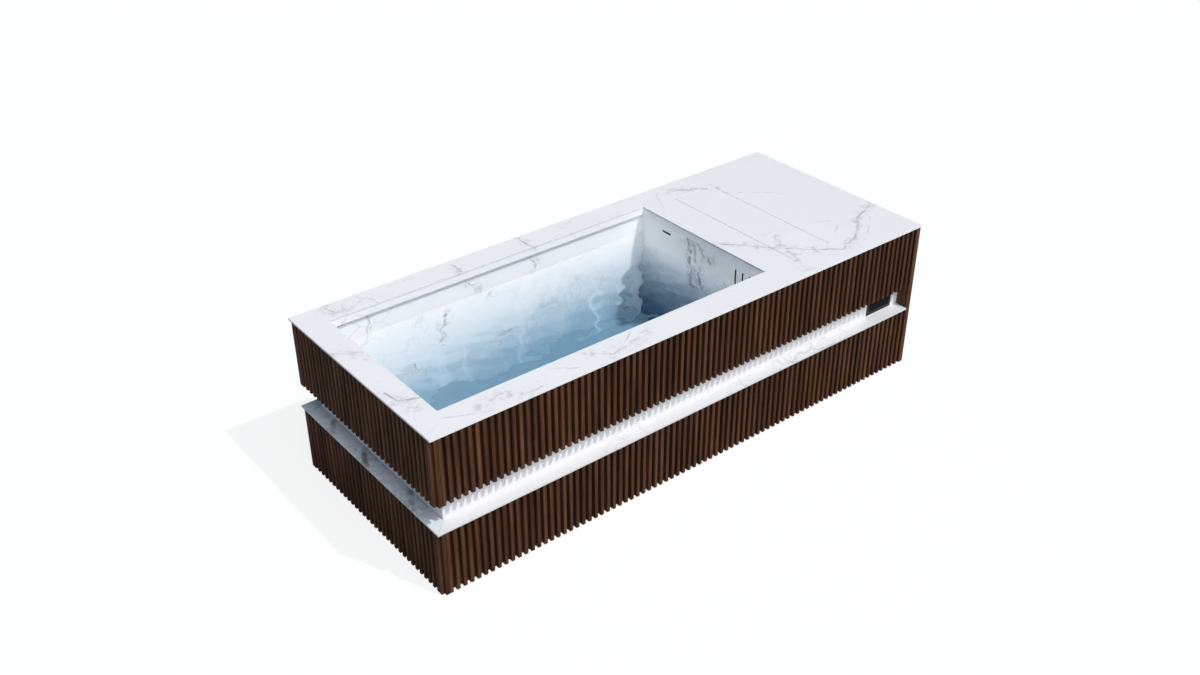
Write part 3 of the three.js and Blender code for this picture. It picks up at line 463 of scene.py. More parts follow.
@dataclass(frozen=True)
class Walnut(Finish):
    """Oiled slats: upright grain, with a tone and a shift of the grain for each slat."""

    dark: Colour = (0.033, 0.0115, 0.0045)
    mid: Colour = (0.085, 0.032, 0.0115)
    light: Colour = (0.155, 0.064, 0.026)
    stretch: float = 0.055
    broad_scale: float = 55.0
    fibre_scale: float = 420.0
    hues: tuple[float, float] = (0.497, 0.504)
    saturation: float = 0.93
    values: tuple[float, float] = (0.86, 1.14)
    gloss: tuple[float, float] = (0.62, 0.48)

    def dress(self, nodes: MaterialTree) -> None:
        """Builds stretched noise for the grain and turns its hue and value by the slat's tone.

        Args:
            nodes: Tree of the material.
        """
        place = nodes.place()
        tone = nodes.add("Attribute", attribute_name="tone").outputs["Fac"]
        shift = nodes.scaled((3.7, 1.9, 5.3), nodes.math("MULTIPLY", tone, 9.0))
        stretched = nodes.vector("MULTIPLY", place, (1.0, 1.0, self.stretch))
        local = nodes.vector("ADD", stretched, shift)
        broad = nodes.noise(local, self.broad_scale, 4.0, 0.5)
        fibre = nodes.noise(local, self.fibre_scale, 3.0, 0.6)
        grain = nodes.math("ADD", nodes.math("MULTIPLY", broad, 0.68), nodes.math("MULTIPLY", fibre, 0.32))
        ramp = nodes.add("ValToRGB", {"Fac": grain})
        ramp.color_ramp.elements[0].position = 0.30
        ramp.color_ramp.elements[0].color = rgba(self.dark)
        ramp.color_ramp.elements[1].position = 0.72
        ramp.color_ramp.elements[1].color = rgba(self.light)
        middle = ramp.color_ramp.elements.new(0.5)
        middle.color = rgba(self.mid)
        hue = nodes.span(tone, 0.0, 1.0, *self.hues)
        other_tone = nodes.math("FRACT", nodes.math("MULTIPLY", tone, 7.31))
        value = nodes.span(other_tone, 0.0, 1.0, *self.values)
        inputs = {"Hue": hue, "Saturation": self.saturation, "Value": value, "Color": ramp.outputs["Color"]}
        tinted = nodes.add("HueSaturation", inputs).outputs["Color"]
        rough = nodes.span(grain, 0.3, 0.7, *self.gloss)
        nodes.shade({"Base Color": tinted, "Roughness": rough, "Specular IOR Level": 0.12})
        nodes.shade({"Normal": nodes.bump(grain, 0.18, 0.0006)})


@dataclass(frozen=True)
class Coated(Finish):
    """Paint, plastic, rubber or metal with slight unevenness of colour and gloss."""

    colour: Colour
    roughness: float = 0.5
    metallic: float = 0.0
    scale: float = 18.0
    spread: float = 0.12

    def dress(self, nodes: MaterialTree) -> None:
        """Builds mottled colour and roughness with a faint surface texture.

        Args:
            nodes: Tree of the material.
        """
        value = nodes.group(
            Groups.mottle(), Vector=nodes.place(), Scale=self.scale, Fine=30.0 * self.scale
        )
        low = tuple(c * (1 - self.spread) for c in self.colour)
        high = tuple(min(1.0, c * (1 + self.spread)) for c in self.colour)
        colour = nodes.mix(nodes.span(value, 0.38, 0.62, 0.0, 1.0), rgba(low), rgba(high))
        rough = nodes.span(value, 0.35, 0.65, 0.85 * self.roughness, min(1.0, 1.15 * self.roughness))
        nodes.shade({"Base Color": colour, "Metallic": self.metallic, "Roughness": rough})
        nodes.shade({"Normal": nodes.bump(value, 0.12, 0.0004)})


@dataclass(frozen=True)
class Finned(Finish):
    """Stacked thin fins, seen as close stripes across the width, with painted shade in the gaps between
    them.
    """

    colour: Colour = (0.62, 0.64, 0.66)
    pitch: float = 0.003
    metallic: float = 0.8
    roughness: float = 0.4

    def dress(self, nodes: MaterialTree) -> None:
        """Builds stripes along y with the gaps darkened as painted shade, and a bump to match.

        Args:
            nodes: Tree of the material.
        """
        across = nodes.add("SeparateXYZ", {"Vector": nodes.place()}).outputs["Y"]
        wave = nodes.math("PINGPONG", across, self.pitch / 2)
        edge = nodes.span(wave, 0.0, self.pitch / 4, 0.0, 1.0)
        # Painted shade: the gaps between the fins take a quarter of the fins' colour.
        dark = tuple(0.25 * c for c in self.colour)
        colour = nodes.mix(edge, rgba(dark), rgba(self.colour))
        nodes.shade({"Base Color": colour, "Metallic": self.metallic, "Roughness": self.roughness})
        nodes.shade({"Normal": nodes.bump(edge, 0.5, 0.001)})


@dataclass(frozen=True)
class DarkGlass(Finish):
    """Black display glass with a thin paler line set in from its edge."""

    centre: Point = corner_point(2.343, 0.0, 0.350)
    half_length: float = 0.072
    half_height: float = 0.042
    inset: float = 0.006
    line: float = 0.0016
    line_colour: Colour = (0.16, 0.17, 0.18)
    dark: Colour = (0.004, 0.005, 0.006)
    smeared: Colour = (0.009, 0.010, 0.012)

    def dress(self, nodes: MaterialTree) -> None:
        """Builds the line as a band of equal distance from the glass's nearest edge.

        Args:
            nodes: Tree of the material.
        """
        place = nodes.vector("SUBTRACT", nodes.place(), self.centre)
        parts = nodes.add("SeparateXYZ", {"Vector": place}).outputs
        from_end = nodes.math("SUBTRACT", self.half_length, nodes.math("ABSOLUTE", parts["X"]))
        from_top = nodes.math("SUBTRACT", self.half_height, nodes.math("ABSOLUTE", parts["Z"]))
        nearest = nodes.math("MINIMUM", from_end, from_top)
        off = nodes.math("ABSOLUTE", nodes.math("SUBTRACT", nearest, self.inset))
        line = nodes.span(off, 0.4 * self.line, 0.6 * self.line, 1.0, 0.0)
        smear = nodes.noise(place, 60.0, 3.0)
        ground = nodes.mix(smear, rgba(self.dark), rgba(self.smeared))
        colour = nodes.mix(line, ground, rgba(self.line_colour))
        rough = nodes.span(smear, 0.3, 0.7, 0.04, 0.09)
        nodes.shade({"Base Color": colour, "Roughness": rough, "Specular IOR Level": 0.04})


@dataclass(frozen=True)
class PoolWater(Finish):
    """Clear blue water that lets lamps through to the basin."""

    depth_colour: Colour = (0.02, 0.38, 0.58)
    density: float = 0.42
    ior: float = 1.035
    ripple_scale: float = 9.0
    ripple_height: float = 0.13

    def dress(self, nodes: MaterialTree) -> None:
        """Builds refraction with absorption, clear to shadow rays.

        Args:
            nodes: Tree of the material.
        """
        swell = nodes.noise(nodes.place(), self.ripple_scale, 1.0)
        nodes.shade({"IOR": self.ior, "Normal": nodes.bump(swell, 1.0, self.ripple_height)})
        nodes.shade({"Base Color": rgba(WHITE), "Roughness": 0.0, "Transmission Weight": 1.0})
        clear = nodes.add("BsdfTransparent").outputs["BSDF"]
        shadow = nodes.add("LightPath").outputs["Is Shadow Ray"]
        mixed = nodes.add("MixShader", {0: shadow, 1: nodes.shader.outputs["BSDF"], 2: clear})
        depth = nodes.add("VolumeAbsorption", {"Color": rgba(self.depth_colour), "Density": self.density})
        nodes.fill(nodes.output, {"Surface": mixed.outputs[0], "Volume": depth.outputs["Volume"]})


def mesh_of(name: str, points: np.ndarray, faces: list[list[int]]) -> bpy.types.Mesh:
    """Makes a mesh of points and faces.

    Args:
        name: Name of the mesh.
        points: Vertices in the row frame, one row each.
        faces: Vertex numbers of each face, outwards by the right-hand rule.

    Returns:
        The new mesh.
    """
    mesh = bpy.data.meshes.new(name)
    mesh.from_pydata(points, [], faces)
    mesh.update()
    return mesh


def add_piece(
    mesh: bpy.types.Mesh, finish: Finish, body: Body, node: str | None = None
) -> bpy.types.Object:
    """Makes a piece of a mesh that is in the row frame, under the mesh's name.

    Args:
        mesh: Shape of the piece.
        finish: Finish of the whole piece.
        body: Body that it rides on.
        node: CAD node that it stands for, if any.

    Returns:
        The new object.
    """
    piece = bpy.data.objects.new(mesh.name, mesh)
    bpy.context.scene.collection.objects.link(piece)
    mesh.materials.clear()
    mesh.materials.append(finish.material())
    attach(piece, body.value)
    if node:
        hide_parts(node)
    log.info("%s: %d faces on %s", mesh.name, len(mesh.polygons), body.value)
    return piece


def add_eased(node: str, finish: Finish, body: Body, ease: float) -> None:
    """Makes a piece from a CAD node with its edges eased by a bevel.

    Args:
        node: CAD node that the piece stands for.
        finish: Finish of the whole piece.
        body: Body that it rides on.
        ease: Width of the eased edge.
    """
    shape = bmesh.new()
    shape.from_mesh(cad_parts[node].data)
    bmesh.ops.remove_doubles(shape, verts=shape.verts, dist=1e-5)
    bmesh.ops.dissolve_limit(shape, angle_limit=0.01, verts=shape.verts, edges=shape.edges)
    mesh = bpy.data.meshes.new(f"{node}_look")
    shape.to_mesh(mesh)
    shape.free()
    bevel = add_piece(mesh, finish, body, node).modifiers.new("eased_edges", "BEVEL")
    bevel.width = ease
    bevel.segments = 2
    bevel.limit_method = "ANGLE"
    bevel.angle_limit = 0.6
    bevel.loop_slide = False


def refinish(node: str, finish: Finish) -> None:
    """Puts a finish on a CAD node that keeps its own shape."""
    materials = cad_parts[node].data.materials
    materials.clear()
    materials.append(finish.material())


@dataclass
class SlatPanel:
    """One clad panel: rounded slats in front of a backing board."""

    node: str
    side: Side
    middle: float
    run: float
    levels: tuple[float, float]
    ends: tuple[End, End]
    seed: int
    body: Body = Body.TUB
    width: float = 0.0155
    pitch: float = 0.030
    depth: float = 0.018
    backing: float = 0.009
    rounding: float = 0.003
    notch: float = 0.013
    corner: float = 0.016
    overhang: float = 0.003
    bite: float = 0.001
    ease: float = 0.0006
    arc_steps: int = 4

    def slats(self) -> np.ndarray:
        """Places the slats along the run with the pitch that fits it.

        Returns:
            Start and end of each slat along the face, one row each.
        """
        inset = {End.MITRE: self.notch + self.corner, End.OPEN: self.pitch - self.width, End.FLUSH: 0.0}
        first = -self.run / 2 + inset[self.ends[0]]
        last = self.run / 2 - inset[self.ends[1]] - self.width
        starts = np.linspace(first, last, int(round((last - first) / self.pitch)) + 1)
        rows = [np.column_stack([starts, starts + self.width])]
        if self.ends[0] is End.MITRE:
            rows.append([[first - self.corner, first]])
        if self.ends[1] is End.MITRE:
            rows.append([[last + self.width, last + self.width + self.corner]])
        return np.vstack(rows)

    def section(self) -> tuple[np.ndarray, np.ndarray]:
        """Section of a slat: square at the back, a quarter circle at each front edge.

        Returns:
            For each point the share of the slat's width with the inset from that side, and the depth.
        """
        turn = np.linspace(0.0, np.pi / 2, self.arc_steps + 1)
        left = np.column_stack([self.rounding * (1 - np.cos(turn)), self.rounding * (1 - np.sin(turn))])
        back = self.depth + self.bite
        share = np.concatenate([[0.0], np.zeros(len(turn)), np.ones(len(turn)), [1.0]])
        inset = np.concatenate([[0.0], left[:, 0], -left[::-1, 0], [0.0]])
        deep = np.concatenate([[back], left[:, 1], left[::-1, 1], [back]])
        return np.column_stack([share, inset]), deep

    def placed(self, along: np.ndarray, deep: np.ndarray, level: np.ndarray) -> np.ndarray:
        """Carries face coordinates to the row frame by quarter turns of the front face.

        Args:
            along: Distance along the face from the panel's middle.
            deep: Depth in from the slat faces.
            level: Height over the ground.

        Returns:
            Points in the row frame, one row each.
        """
        x0, x1 = -LENGTH / 2 + self.overhang, LENGTH / 2 - self.overhang
        y0, y1 = -WIDTH / 2 + self.overhang, WIDTH / 2 - self.overhang
        xy = {
            Side.FRONT: (self.middle + along, y0 + deep),
            Side.RIGHT: (x1 - deep, self.middle + along),
            Side.BACK: (self.middle - along, y1 - deep),
            Side.LEFT: (x0 + deep, self.middle - along),
        }[self.side]
        return np.column_stack([xy[0].ravel(), xy[1].ravel(), level.ravel()])

    def slat_mesh(self) -> tuple[np.ndarray, np.ndarray, list[list[int]]]:
        """Works out all slats as rings of the section at four levels, the outer two drawn in by the ease.

        Returns:
            Points with one row each, the slat number of each point, and the faces.
        """
        slats = self.slats()
        section, deep = self.section()
        bottom, top = self.levels
        levels = np.array([bottom, bottom + self.ease, top - self.ease, top])
        count, rows, ring = len(slats), len(levels), len(deep)
        tuck = np.array([self.ease, 0.0, 0.0, self.ease])
        wide = (slats[:, 1] - slats[:, 0])[:, None, None]
        pull = tuck[None, :, None] * (1 - 2 * section[None, None, :, 0])
        along = slats[:, 0][:, None, None] + section[:, 0] * wide + section[:, 1] + pull
        sunk = np.where(deep < self.depth, deep, deep - tuck.max())
        depth = np.broadcast_to(sunk + tuck[None, :, None] * (deep < self.depth), along.shape)
        level = np.broadcast_to(levels[None, :, None], along.shape)
        grid = np.arange(count * rows * ring).reshape(count, rows, ring)
        after = np.roll(grid, -1, axis=2)
        quads = np.stack([grid[:, :-1], after[:, :-1], after[:, 1:], grid[:, 1:]], axis=-1).reshape(-1, 4)
        faces = quads.tolist() + grid[:, 0, ::-1].tolist() + grid[:, -1].tolist()
        return self.placed(along, depth, level), np.repeat(np.arange(count), rows * ring), faces

    def board_mesh(self) -> tuple[np.ndarray, np.ndarray]:
        """Works out the backing board as a box, cut back by the whole panel's depth at a mitred end.

        Returns:
            Its eight corners and its six faces.
        """
        edge = [self.depth + self.backing if end is End.MITRE else 0.0 for end in self.ends]
        ends = np.array([-self.run / 2 + edge[0], self.run / 2 - edge[1]])
        corner = np.array([[0, 0], [1, 0], [1, 1], [0, 1]])
        along = np.tile(ends[corner[:, 0]], 2)
        deep = np.tile(self.depth + self.backing * corner[:, 1], 2)
        points = self.placed(along, deep, np.repeat(self.levels, 4))
        return points, np.array(
            [[3, 2, 1, 0], [4, 5, 6, 7], [0, 1, 5, 4], [1, 2, 6, 5], [2, 3, 7, 6], [3, 0, 4, 7]]
        )

    def build(self, finish: Finish) -> None:
        """Builds the slats and the board as one piece, with a tone for each slat.

        Args:
            finish: Wood of the panel.
        """
        points, number, faces = self.slat_mesh()
        board, box = self.board_mesh()
        faces += (box + len(points)).tolist()
        mesh = mesh_of(f"{self.node}_look", np.vstack([points, board]), faces)
        add_piece(mesh, finish, self.body, self.node)
        tones = np.random.default_rng(self.seed).random(number[-1] + 1)
        mark = mesh.attributes.new("tone", "FLOAT", "POINT")
        values = np.concatenate([tones[number], np.full(len(board), 0.5)])
        mark.data.foreach_set("value", values.astype(np.float32))


@dataclass
class Cladding:
    """All slat panels of the tub."""

    ground: float = 0.005
    ledge: float = 0.2867
    band: float = 0.404
    slab: float = 0.6917
    end: float = 2.4697
    overhang: float = 0.003

    def build(self) -> None:
        """Builds the seven panels with one wood."""
        wood = Walnut("walnut_slats")
        middle = (self.overhang + self.end) / 2 - LENGTH / 2
        run = self.end - self.overhang
        side = WIDTH - 2 * self.overhang
        sides = (
            ("front", Side.FRONT, middle, run, (End.MITRE, End.OPEN)),
            ("back", Side.BACK, middle, run, (End.OPEN, End.MITRE)),
            ("left", Side.LEFT, 0.0, side, (End.MITRE, End.MITRE)),
        )
        tiers = (("lower", (self.ground, self.ledge), 3), ("upper", (self.band, self.slab), 13))
        for tier, levels, seed in tiers:
            for turn, (name, face, centre, length, ends) in enumerate(sides):
                SlatPanel(f"slat_{name}_{tier}", face, centre, length, levels, ends, seed + turn).build(wood)
        levels, ends = (self.ground, self.slab), (End.FLUSH, End.FLUSH)
        SlatPanel(
            "slat_end_panel", Side.RIGHT, 0.0, side, levels, ends, seed=41, body=Body.END_PANEL
        ).build(wood)
        refinish("band_soffit", wood)


@dataclass
class Stonework:
    """The top slab, hatch, ledges, band walls and basin lining."""

    ease: float = 0.0006
    slot_lip: float = 0.0006
    # Heights over which the painted light on the slab's edges fades out towards its top face.
    apron_top: tuple[float, float] = (0.690, 0.694)
    # Half the height over which the painted light on the basin walls fades in above the water.
    waterline_fade: float = 0.008

    def build(self) -> None:
        """Builds each stone panel with eased edges."""
        for node, (stone, share) in self.panels().items():
            body = Body.HATCH if node == "deck_hatch" else Body.TUB
            add_eased(node, stone, body, share * self.ease)

    def panels(self) -> dict[str, tuple[Marble, float]]:
        """Chooses the stone of each panel and how much its edges are eased.

        Returns:
            CAD node to its finish and its share of the ease.
        """
        # Painted light on the edges of the slab and hatch below their top faces.
        top = Marble("marble_top", veins=self.top_veins(), glow=0.2, painted_glow_span=(*self.apron_top, 1.0, 0.0))
        # Faint painted light all over the band walls.
        band = Marble("marble_band", web=0.5, glow=0.05)
        ledge = Marble("marble_ledge", colour=(0.73, 0.735, 0.75), web=0.45, cover=0.50)
        # The left ledge's stone: its own darker veins, and a bluer colour that is painted shade.
        left_ledge_veins_and_shade = replace(
            ledge,
            name="marble_left_ledge_veins_and_shade",
            # Painted shade: bluer than the other ledges, standing in for sky light in the shade.
            colour=(0.74, 0.765, 0.80),
            vein=(0.11, 0.115, 0.125),
            web=0.5,
            veins=self.ledge_veins(),
        )
        panels = {"top_slab": (top, 1.0), "deck_hatch": (top, 0.6)}
        for side, stone in {"front": ledge, "left": left_ledge_veins_and_shade, "back": ledge}.items():
            panels[f"ledge_{side}"] = (stone, 1.0)
            panels[f"band_wall_{side}"] = (band, 0.4)
        return panels | self.basin_panels()

    def basin_panels(self) -> dict[str, tuple[Marble, float]]:
        """Chooses the stone of the basin, with painted shade and water colour below the water, painted light
        above.

        Returns:
            CAD node to its finish and its share of the ease.
        """
        lining = Marble(
            "marble_lining",
            colour=(0.85, 0.855, 0.865),
            web=0.6,
            cover=0.50,
            veins=self.lining_veins(),
            # Painted light: pale upright bands on the lower walls stand in for caustics.
            painted_caustics=0.5,
            # Painted shade and the water's colour below the water, deeper towards the right.
            underwater_shade=(0.33, 0.45, 0.53),
            tilt=0.085,
            # Painted light on the walls above the water, standing in for bounced light.
            glow=0.2,
            painted_glow_span=(WATER_LEVEL - self.waterline_fade, WATER_LEVEL + self.waterline_fade, 0.0, 1.0),
            sway=0.10,
        )
        end_lining = replace(
            lining,
            name="marble_end_lining",
            vein=(0.17, 0.16, 0.155),
            web=0.4,
            cover=0.52,
            # Painted shade: the right wall, out of the sun, turns deep blue from just above the water
            # downwards.
            underwater_shade=(0.04, 0.135, 0.235),
            underwater_shade_from=0.60,
            tilt=0.0,
            # Painted light on the right wall, strongest high up, standing in for bounced light.
            glow=0.28,
            painted_glow_span=(0.25, 0.6, 0.0, 1.0),
            painted_caustics=0.0,
            # Painted shade: near black inside the slots of the right wall.
            slot_shade_behind=BASIN_RIGHT - LENGTH / 2 + self.slot_lip,
        )
        # Painted shade and the water's colour on the floor, deeper towards the right.
        floor = replace(lining, name="marble_floor", underwater_shade=(0.175, 0.265, 0.33), tilt=0.08, painted_caustics=0.0)
        panels = {f"wall_panel_{side}": (lining, 0.5) for side in ("front", "left", "back")}
        return panels | {"wall_panel_right": (end_lining, 0.5), "floor_panel": (floor, 0.4)}

    @staticmethod
    def top_veins() -> tuple[VeinSet, ...]:
        """Longer veins of the top slab, by their turning points from its front left corner.

        Returns:
            The sets of veins in the row frame.
        """
        strong = (
            ((1.689, 0.428), (1.844, 0.269), (1.928, 0.178), (2.062, 0.059)),
            ((2.062, 0.059), (2.200, 0.111), (2.350, 0.234), (2.500, 0.284)),
            ((0.141, 1.003), (0.159, 0.931)),
            ((0.027, 0.331), (0.037, 0.268), (0.125, 0.228)),
            ((1.072, 1.010), (1.063, 0.898)),
            ((0.717, 0.963), (0.720, 0.880)),
        )
        cloudy = (
            ((0.016, 0.680), (0.112, 0.560)),
            ((0.015, 0.277), (0.066, 0.190)),
            ((0.245, 0.060), (0.336, 0.090), (0.414, 0.030)),
            ((0.739, 0.105), (0.800, 0.040), (1.000, 0.060)),
            ((1.860, 0.940), (2.055, 0.854)),
            ((1.925, 0.344), (1.828, 0.047)),
        )
        faint = (
            ((1.817, 0.978), (1.708, 0.790)),
            ((2.151, 0.320), (2.253, 0.263), (2.161, 0.190)),
            ((2.391, 0.201), (2.205, 0.060)),
            ((2.054, 0.787), (2.259, 0.608)),
            ((0.098, 0.089), (0.276, 0.014)),
            ((0.414, 0.019), (0.482, 0.036)),
            ((0.565, 0.101), (0.650, 0.041)),
            ((0.897, 0.076), (0.967, 0.120)),
            ((0.288, 0.984), (0.326, 0.924)),
            ((0.415, 0.984), (0.537, 0.980)),
            ((1.252, 0.947), (1.382, 1.002)),
        )

        def on_top(x: float, y: float) -> Point:
            """Lays a point on the slab."""
            return corner_point(x, y, HEIGHT)

        return (
            VeinSet(traced(strong, on_top), width=0.008, strength=0.8, halo=0.045),
            VeinSet(traced(cloudy, on_top), width=0.006, strength=0.45, halo=0.05),
            VeinSet(traced(faint, on_top), width=0.006, strength=0.5),
        )

    @staticmethod
    def ledge_veins() -> tuple[VeinSet, ...]:
        """Dark cloudy veins of the left ledge, by their ends from the slab's front left corner.

        Returns:
            The set of veins in the row frame.
        """
        left = (
            ((0.010, 0.170), (0.050, 0.270)),
            ((0.010, 0.500), (0.055, 0.600)),
            ((0.005, 0.760), (0.050, 0.840)),
        )
        lines = traced(left, lambda x, y: corner_point(x, y, LEDGE_TOP))
        return (VeinSet(lines, width=0.016, strength=0.9, halo=0.09),)

    @staticmethod
    def lining_veins() -> tuple[VeinSet, ...]:
        """Longer veins of the basin's walls: the right one by y and height, the back one by x and height.

        Returns:
            The sets of veins in the row frame.
        """
        right = (
            ((0.640, 0.690), (0.600, 0.590)),
            ((0.590, 0.690), (0.560, 0.540)),
            ((0.520, 0.690), (0.470, 0.590)),
            ((0.560, 0.640), (0.510, 0.600)),
            ((0.545, 0.540), (0.520, 0.420)),
            ((0.600, 0.560), (0.580, 0.400)),
        )
        back = (
            ((1.063, 0.660), (1.090, 0.600)),
            ((0.720, 0.660), (0.780, 0.590), (0.860, 0.520)),
            ((0.640, 0.531), (0.579, 0.375)),
            ((0.444, 0.322), (0.510, 0.255)),
            ((0.787, 0.282), (0.890, 0.272), (0.996, 0.287)),
            ((1.133, 0.352), (1.242, 0.311), (1.300, 0.428)),
        )
        right_lines = traced(right, lambda y, z: corner_point(BASIN_RIGHT, y, z))
        back_lines = traced(back, lambda x, z: corner_point(x, BASIN_BACK, z))
        return (
            VeinSet(right_lines, width=0.012, strength=0.85, halo=0.07),
            VeinSet(back_lines, width=0.007, strength=0.8, halo=0.05),
        )


@dataclass
class BasinWater:
    """The water in the basin: a closed body with a gently rippled top."""

    left: float = 0.097
    right: float = BASIN_RIGHT
    front: float = 0.115
    back: float = BASIN_BACK
    floor: float = 0.100
    level: float = WATER_LEVEL
    overlap: float = 0.0008
    ripple: float = 0.0011
    calm_edge: float = 0.05
    columns: int = 220
    rows: int = 110

    def surface(self, x: np.ndarray, y: np.ndarray) -> np.ndarray:
        """Height of the water: its level and a sum of crossing sine waves that die out at the walls.

        Args:
            x: Distance from the left edge of the slab.
            y: Distance from the front edge of the slab.

        Returns:
            Height over the ground at each point.
        """
        waves = (
            (34.0, 11.0, 0.4, 1.0),
            (-19.0, 41.0, 1.7, 0.8),
            (52.0, -33.0, 2.9, 0.5),
            (23.0, 71.0, 0.9, 0.4),
        )
        total = sum(share * np.sin(kx * x + ky * y + phase) for kx, ky, phase, share in waves)
        from_ends = np.minimum(x - self.left, self.right - x)
        from_sides = np.minimum(y - self.front, self.back - y)
        calm = np.minimum(from_ends, from_sides) / self.calm_edge
        return self.level + self.ripple * total * np.clip(calm, 0.0, 1.0)

    def build(self) -> None:
        """Builds the rippled top, a flat bottom on the same grid and a wall of quads round both."""
        x = np.linspace(self.left - self.overlap, self.right + self.overlap, self.columns)
        y = np.linspace(self.front - self.overlap, self.back + self.overlap, self.rows)
        gx, gy = np.meshgrid(x, y, indexing="ij")
        top = np.column_stack([part.ravel() for part in corner_point(gx, gy, self.surface(gx, gy))])
        bottom = top.copy()
        bottom[:, 2] = self.floor - self.overlap
        grid = np.arange(self.columns * self.rows).reshape(self.columns, self.rows)
        quads = np.stack([grid[:-1, :-1], grid[1:, :-1], grid[1:, 1:], grid[:-1, 1:]], axis=-1)
        quads = quads.reshape(-1, 4)
        rim = np.concatenate([grid[:-1, 0], grid[-1, :-1], grid[:0:-1, -1], grid[0, :0:-1]])
        after = np.roll(rim, -1)
        under = len(top)
        walls = np.column_stack([rim + under, after + under, after, rim])
        faces = quads.tolist() + (quads[:, ::-1] + under).tolist() + walls.tolist()
        mesh = mesh_of("basin_water", np.vstack([top, bottom]), faces)
        mesh.polygons.foreach_set("use_smooth", np.arange(len(faces)) < len(quads))
        add_piece(mesh, PoolWater("pool_water"), Body.TUB)


class Fittings:
    """The CAD nodes that keep their own shapes, each in its finish."""

    feet: int = 6

    def __init__(self) -> None:
        """Chooses a finish for each node that shows as it is."""
        black = Coated("black_moulding", (0.022, 0.023, 0.025), 0.42)
        # Black plastic made darker still: painted shade in the slots of the wall and round the spout.
        shadow = Coated("skimmer_moulding_and_shade", (0.006, 0.006, 0.007), 0.7)
        steel = Coated("grey_steel", (0.36, 0.37, 0.38), 0.45, 0.6)
        pipe = Coated("grey_pipe", (0.42, 0.44, 0.46), 0.4)
        motor = Coated("dark_paint", (0.06, 0.065, 0.072), 0.45)
        copper = Coated("copper_tube", (0.62, 0.30, 0.17), 0.3, 1.0)
        self.finishes: dict[str, Finish] = {
            "display_housing": black,
            "display_glass": DarkGlass("display_face"),
            "skimmer_body": shadow,
            "weir_flap": shadow,
            "return_spout": shadow,
            "floor_drain": black,
            "drain_grate": steel,
            "steel_frame": steel,
            "equipment_tray": steel,
            "fan_shroud": steel,
            "fan_rotor": black,
            "fan_motor": motor,
            "hatch_frame": Coated("mill_aluminium", (0.62, 0.63, 0.65), 0.35, 0.9),
            "condenser_coil": Finned("coil_fins"),
            "basin_shell": Coated("shell_gelcoat", (0.66, 0.68, 0.69), 0.35),
            "insulation_jacket": Coated("foam_board", (0.62, 0.55, 0.38), 0.85, spread=0.2),
            "pump_wet_end": black,
            "pump_motor": motor,
            "filter_housing": Coated("blue_housing", (0.02, 0.07, 0.19), 0.3),
            "filter_lid": black,
            "filter_cartridge": Coated("pleated_paper", (0.74, 0.77, 0.77), 0.8),
            "compressor": Coated("compressor_paint", (0.012, 0.012, 0.013), 0.35),
            "heat_exchanger": Coated("exchanger_jacket", (0.16, 0.17, 0.18), 0.55),
            "control_box": motor,
            "drain_valve": copper,
            "valve_lever": Coated("lever_paint", (0.45, 0.03, 0.02), 0.4),
            "hot_gas_line": copper,
            "suction_line": copper,
        }
        for name in ("suction_pipe", "pump_pipe", "filter_pipe", "return_pipe"):
            self.finishes[name] = pipe
        rubber = Coated("foot_rubber", (0.018, 0.018, 0.018), 0.8)
        for number in range(1, self.feet + 1):
            self.finishes[f"levelling_foot_{number}"] = rubber

    def dress(self) -> None:
        """Puts each finish on its node."""
        for name, finish in self.finishes.items():
            refinish(name, finish)
        log.info("%d fittings dressed", len(self.finishes))


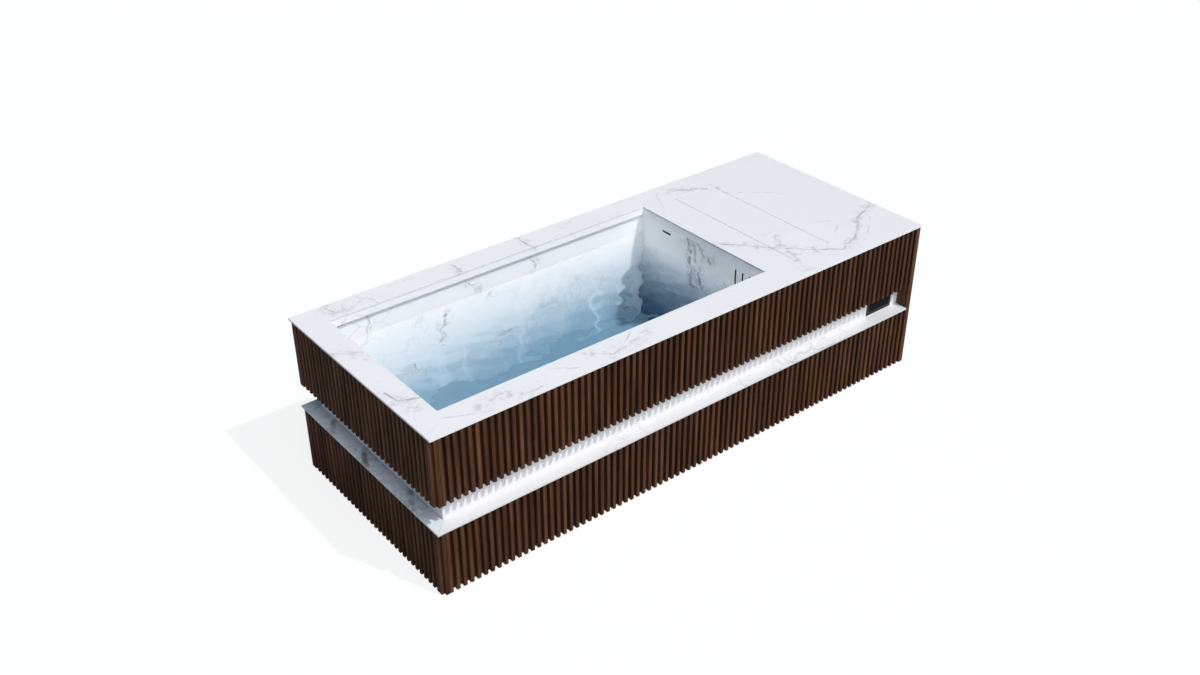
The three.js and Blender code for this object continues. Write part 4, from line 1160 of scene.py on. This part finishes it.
@dataclass
class Studio:
    """Camera at the photograph's place, a high sun, a soft fill, a blue sky and a white floor."""

    eye: Point = (-2.918, -3.512, 3.206)
    forward: Point = (0.52809, 0.66540, -0.52760)
    right: Point = (0.78215, -0.62308, -0.00293)
    lens: float = 38.34
    sensor: float = 36.0
    to_sun: Point = (0.207, -0.518, 0.829)
    sun_strength: float = 2.05
    sun_angle: float = 0.02
    sun_colour: Colour = (1.0, 0.975, 0.94)
    to_fill: Point = (-0.05, -0.62, 0.78)
    fill_strength: float = 1.66
    fill_angle: float = 0.8
    fill_colour: Colour = (0.965, 0.985, 1.0)
    sky_strength: float = 0.175
    sky: Colour = (0.46, 0.72, 1.0)
    floor_half: float = 40.0
    floor_tone: float = 0.45
    seen_tone: float = 0.95
    seen_glow: float = 0.85

    def build(self) -> None:
        """Builds camera, lights and floor."""
        scene = bpy.context.scene
        scene.view_settings.view_transform = "Standard"
        self.camera(scene)
        self.lights(scene)
        self.floor()

    def camera(self, scene: bpy.types.Scene) -> None:
        """Places the camera by its own axes.

        Args:
            scene: Scene that takes the camera.
        """
        camera = bpy.data.objects.new("camera", bpy.data.cameras.new("camera"))
        scene.collection.objects.link(camera)
        look = Vector(self.forward).normalized()
        across = Vector(self.right).normalized()
        up = across.cross(look).normalized()
        camera.matrix_world = Matrix(
            (
                (across.x, up.x, -look.x, self.eye[0]),
                (across.y, up.y, -look.y, self.eye[1]),
                (across.z, up.z, -look.z, self.eye[2]),
                (0.0, 0.0, 0.0, 1.0),
            )
        )
        camera.data.lens = self.lens
        camera.data.sensor_width = self.sensor
        scene.camera = camera

    @staticmethod
    def lamp(
        scene: bpy.types.Scene, name: str, toward: Point, strength: float, angle: float, colour: Colour
    ) -> None:
        """Adds one distant lamp.

        Args:
            scene: Scene that takes the lamp.
            name: Name of the lamp.
            toward: Direction from the tub to the lamp.
            strength: Light on a surface that faces it.
            angle: Apparent size in radians, which softens the shadows.
            colour: Linear colour.
        """
        data = bpy.data.lights.new(name, "SUN")
        data.energy = strength
        data.angle = angle
        data.color = colour
        lamp = bpy.data.objects.new(name, data)
        lamp.rotation_mode = "QUATERNION"
        lamp.rotation_quaternion = Vector(toward).to_track_quat("Z", "Y")
        scene.collection.objects.link(lamp)

    def lights(self, scene: bpy.types.Scene) -> None:
        """Sets the sun, the fill and a sky that the camera sees as white.

        Args:
            scene: Scene that takes the lights.
        """
        self.lamp(scene, "sun", self.to_sun, self.sun_strength, self.sun_angle, self.sun_colour)
        self.lamp(scene, "fill", self.to_fill, self.fill_strength, self.fill_angle, self.fill_colour)
        scene.world = bpy.data.worlds.new("sky")
        nodes = NodeTree.emptied(scene.world)
        sky = nodes.add("Background", {"Color": rgba(self.sky), "Strength": self.sky_strength})
        white = nodes.add("Background", {"Color": rgba(WHITE), "Strength": 1.0})
        camera = nodes.add("LightPath").outputs["Is Camera Ray"]
        mixed = nodes.add("MixShader", {0: camera, 1: sky.outputs[0], 2: white.outputs[0]})
        nodes.add("OutputWorld", {"Surface": mixed.outputs[0]})

    def floor(self) -> None:
        """Makes a broad floor, white with a faint shadow to the camera and grey to bounced light."""
        material = bpy.data.materials.new("studio_floor")
        nodes = NodeTree.emptied(material)
        camera = nodes.add("LightPath").outputs["Is Camera Ray"]
        tone = nodes.mix(camera, rgba((self.floor_tone,) * 3), rgba((self.seen_tone,) * 3))
        matte = nodes.add("BsdfDiffuse", {"Color": tone})
        glow = nodes.add("Emission", {"Color": rgba(WHITE), "Strength": 1.0})
        seen = nodes.math("MULTIPLY", camera, self.seen_glow)
        mixed = nodes.add("MixShader", {0: seen, 1: matte.outputs[0], 2: glow.outputs[0]})
        nodes.add("OutputMaterial", {"Surface": mixed.outputs[0]})
        corners = self.floor_half * np.array([[-1, -1, 0], [1, -1, 0], [1, 1, 0], [-1, 1, 0]])
        mesh = mesh_of("studio_floor", corners, [[0, 1, 2, 3]])
        mesh.materials.append(material)
        floor = bpy.data.objects.new("studio_floor", mesh)
        bpy.context.scene.collection.objects.link(floor)


def main() -> None:
    logging.basicConfig(level=logging.INFO, format="%(name)s %(message)s")
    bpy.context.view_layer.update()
    Cladding().build()
    Stonework().build()
    BasinWater().build()
    Fittings().dress()
    Studio().build()


if __name__ == "__main__":
    main()
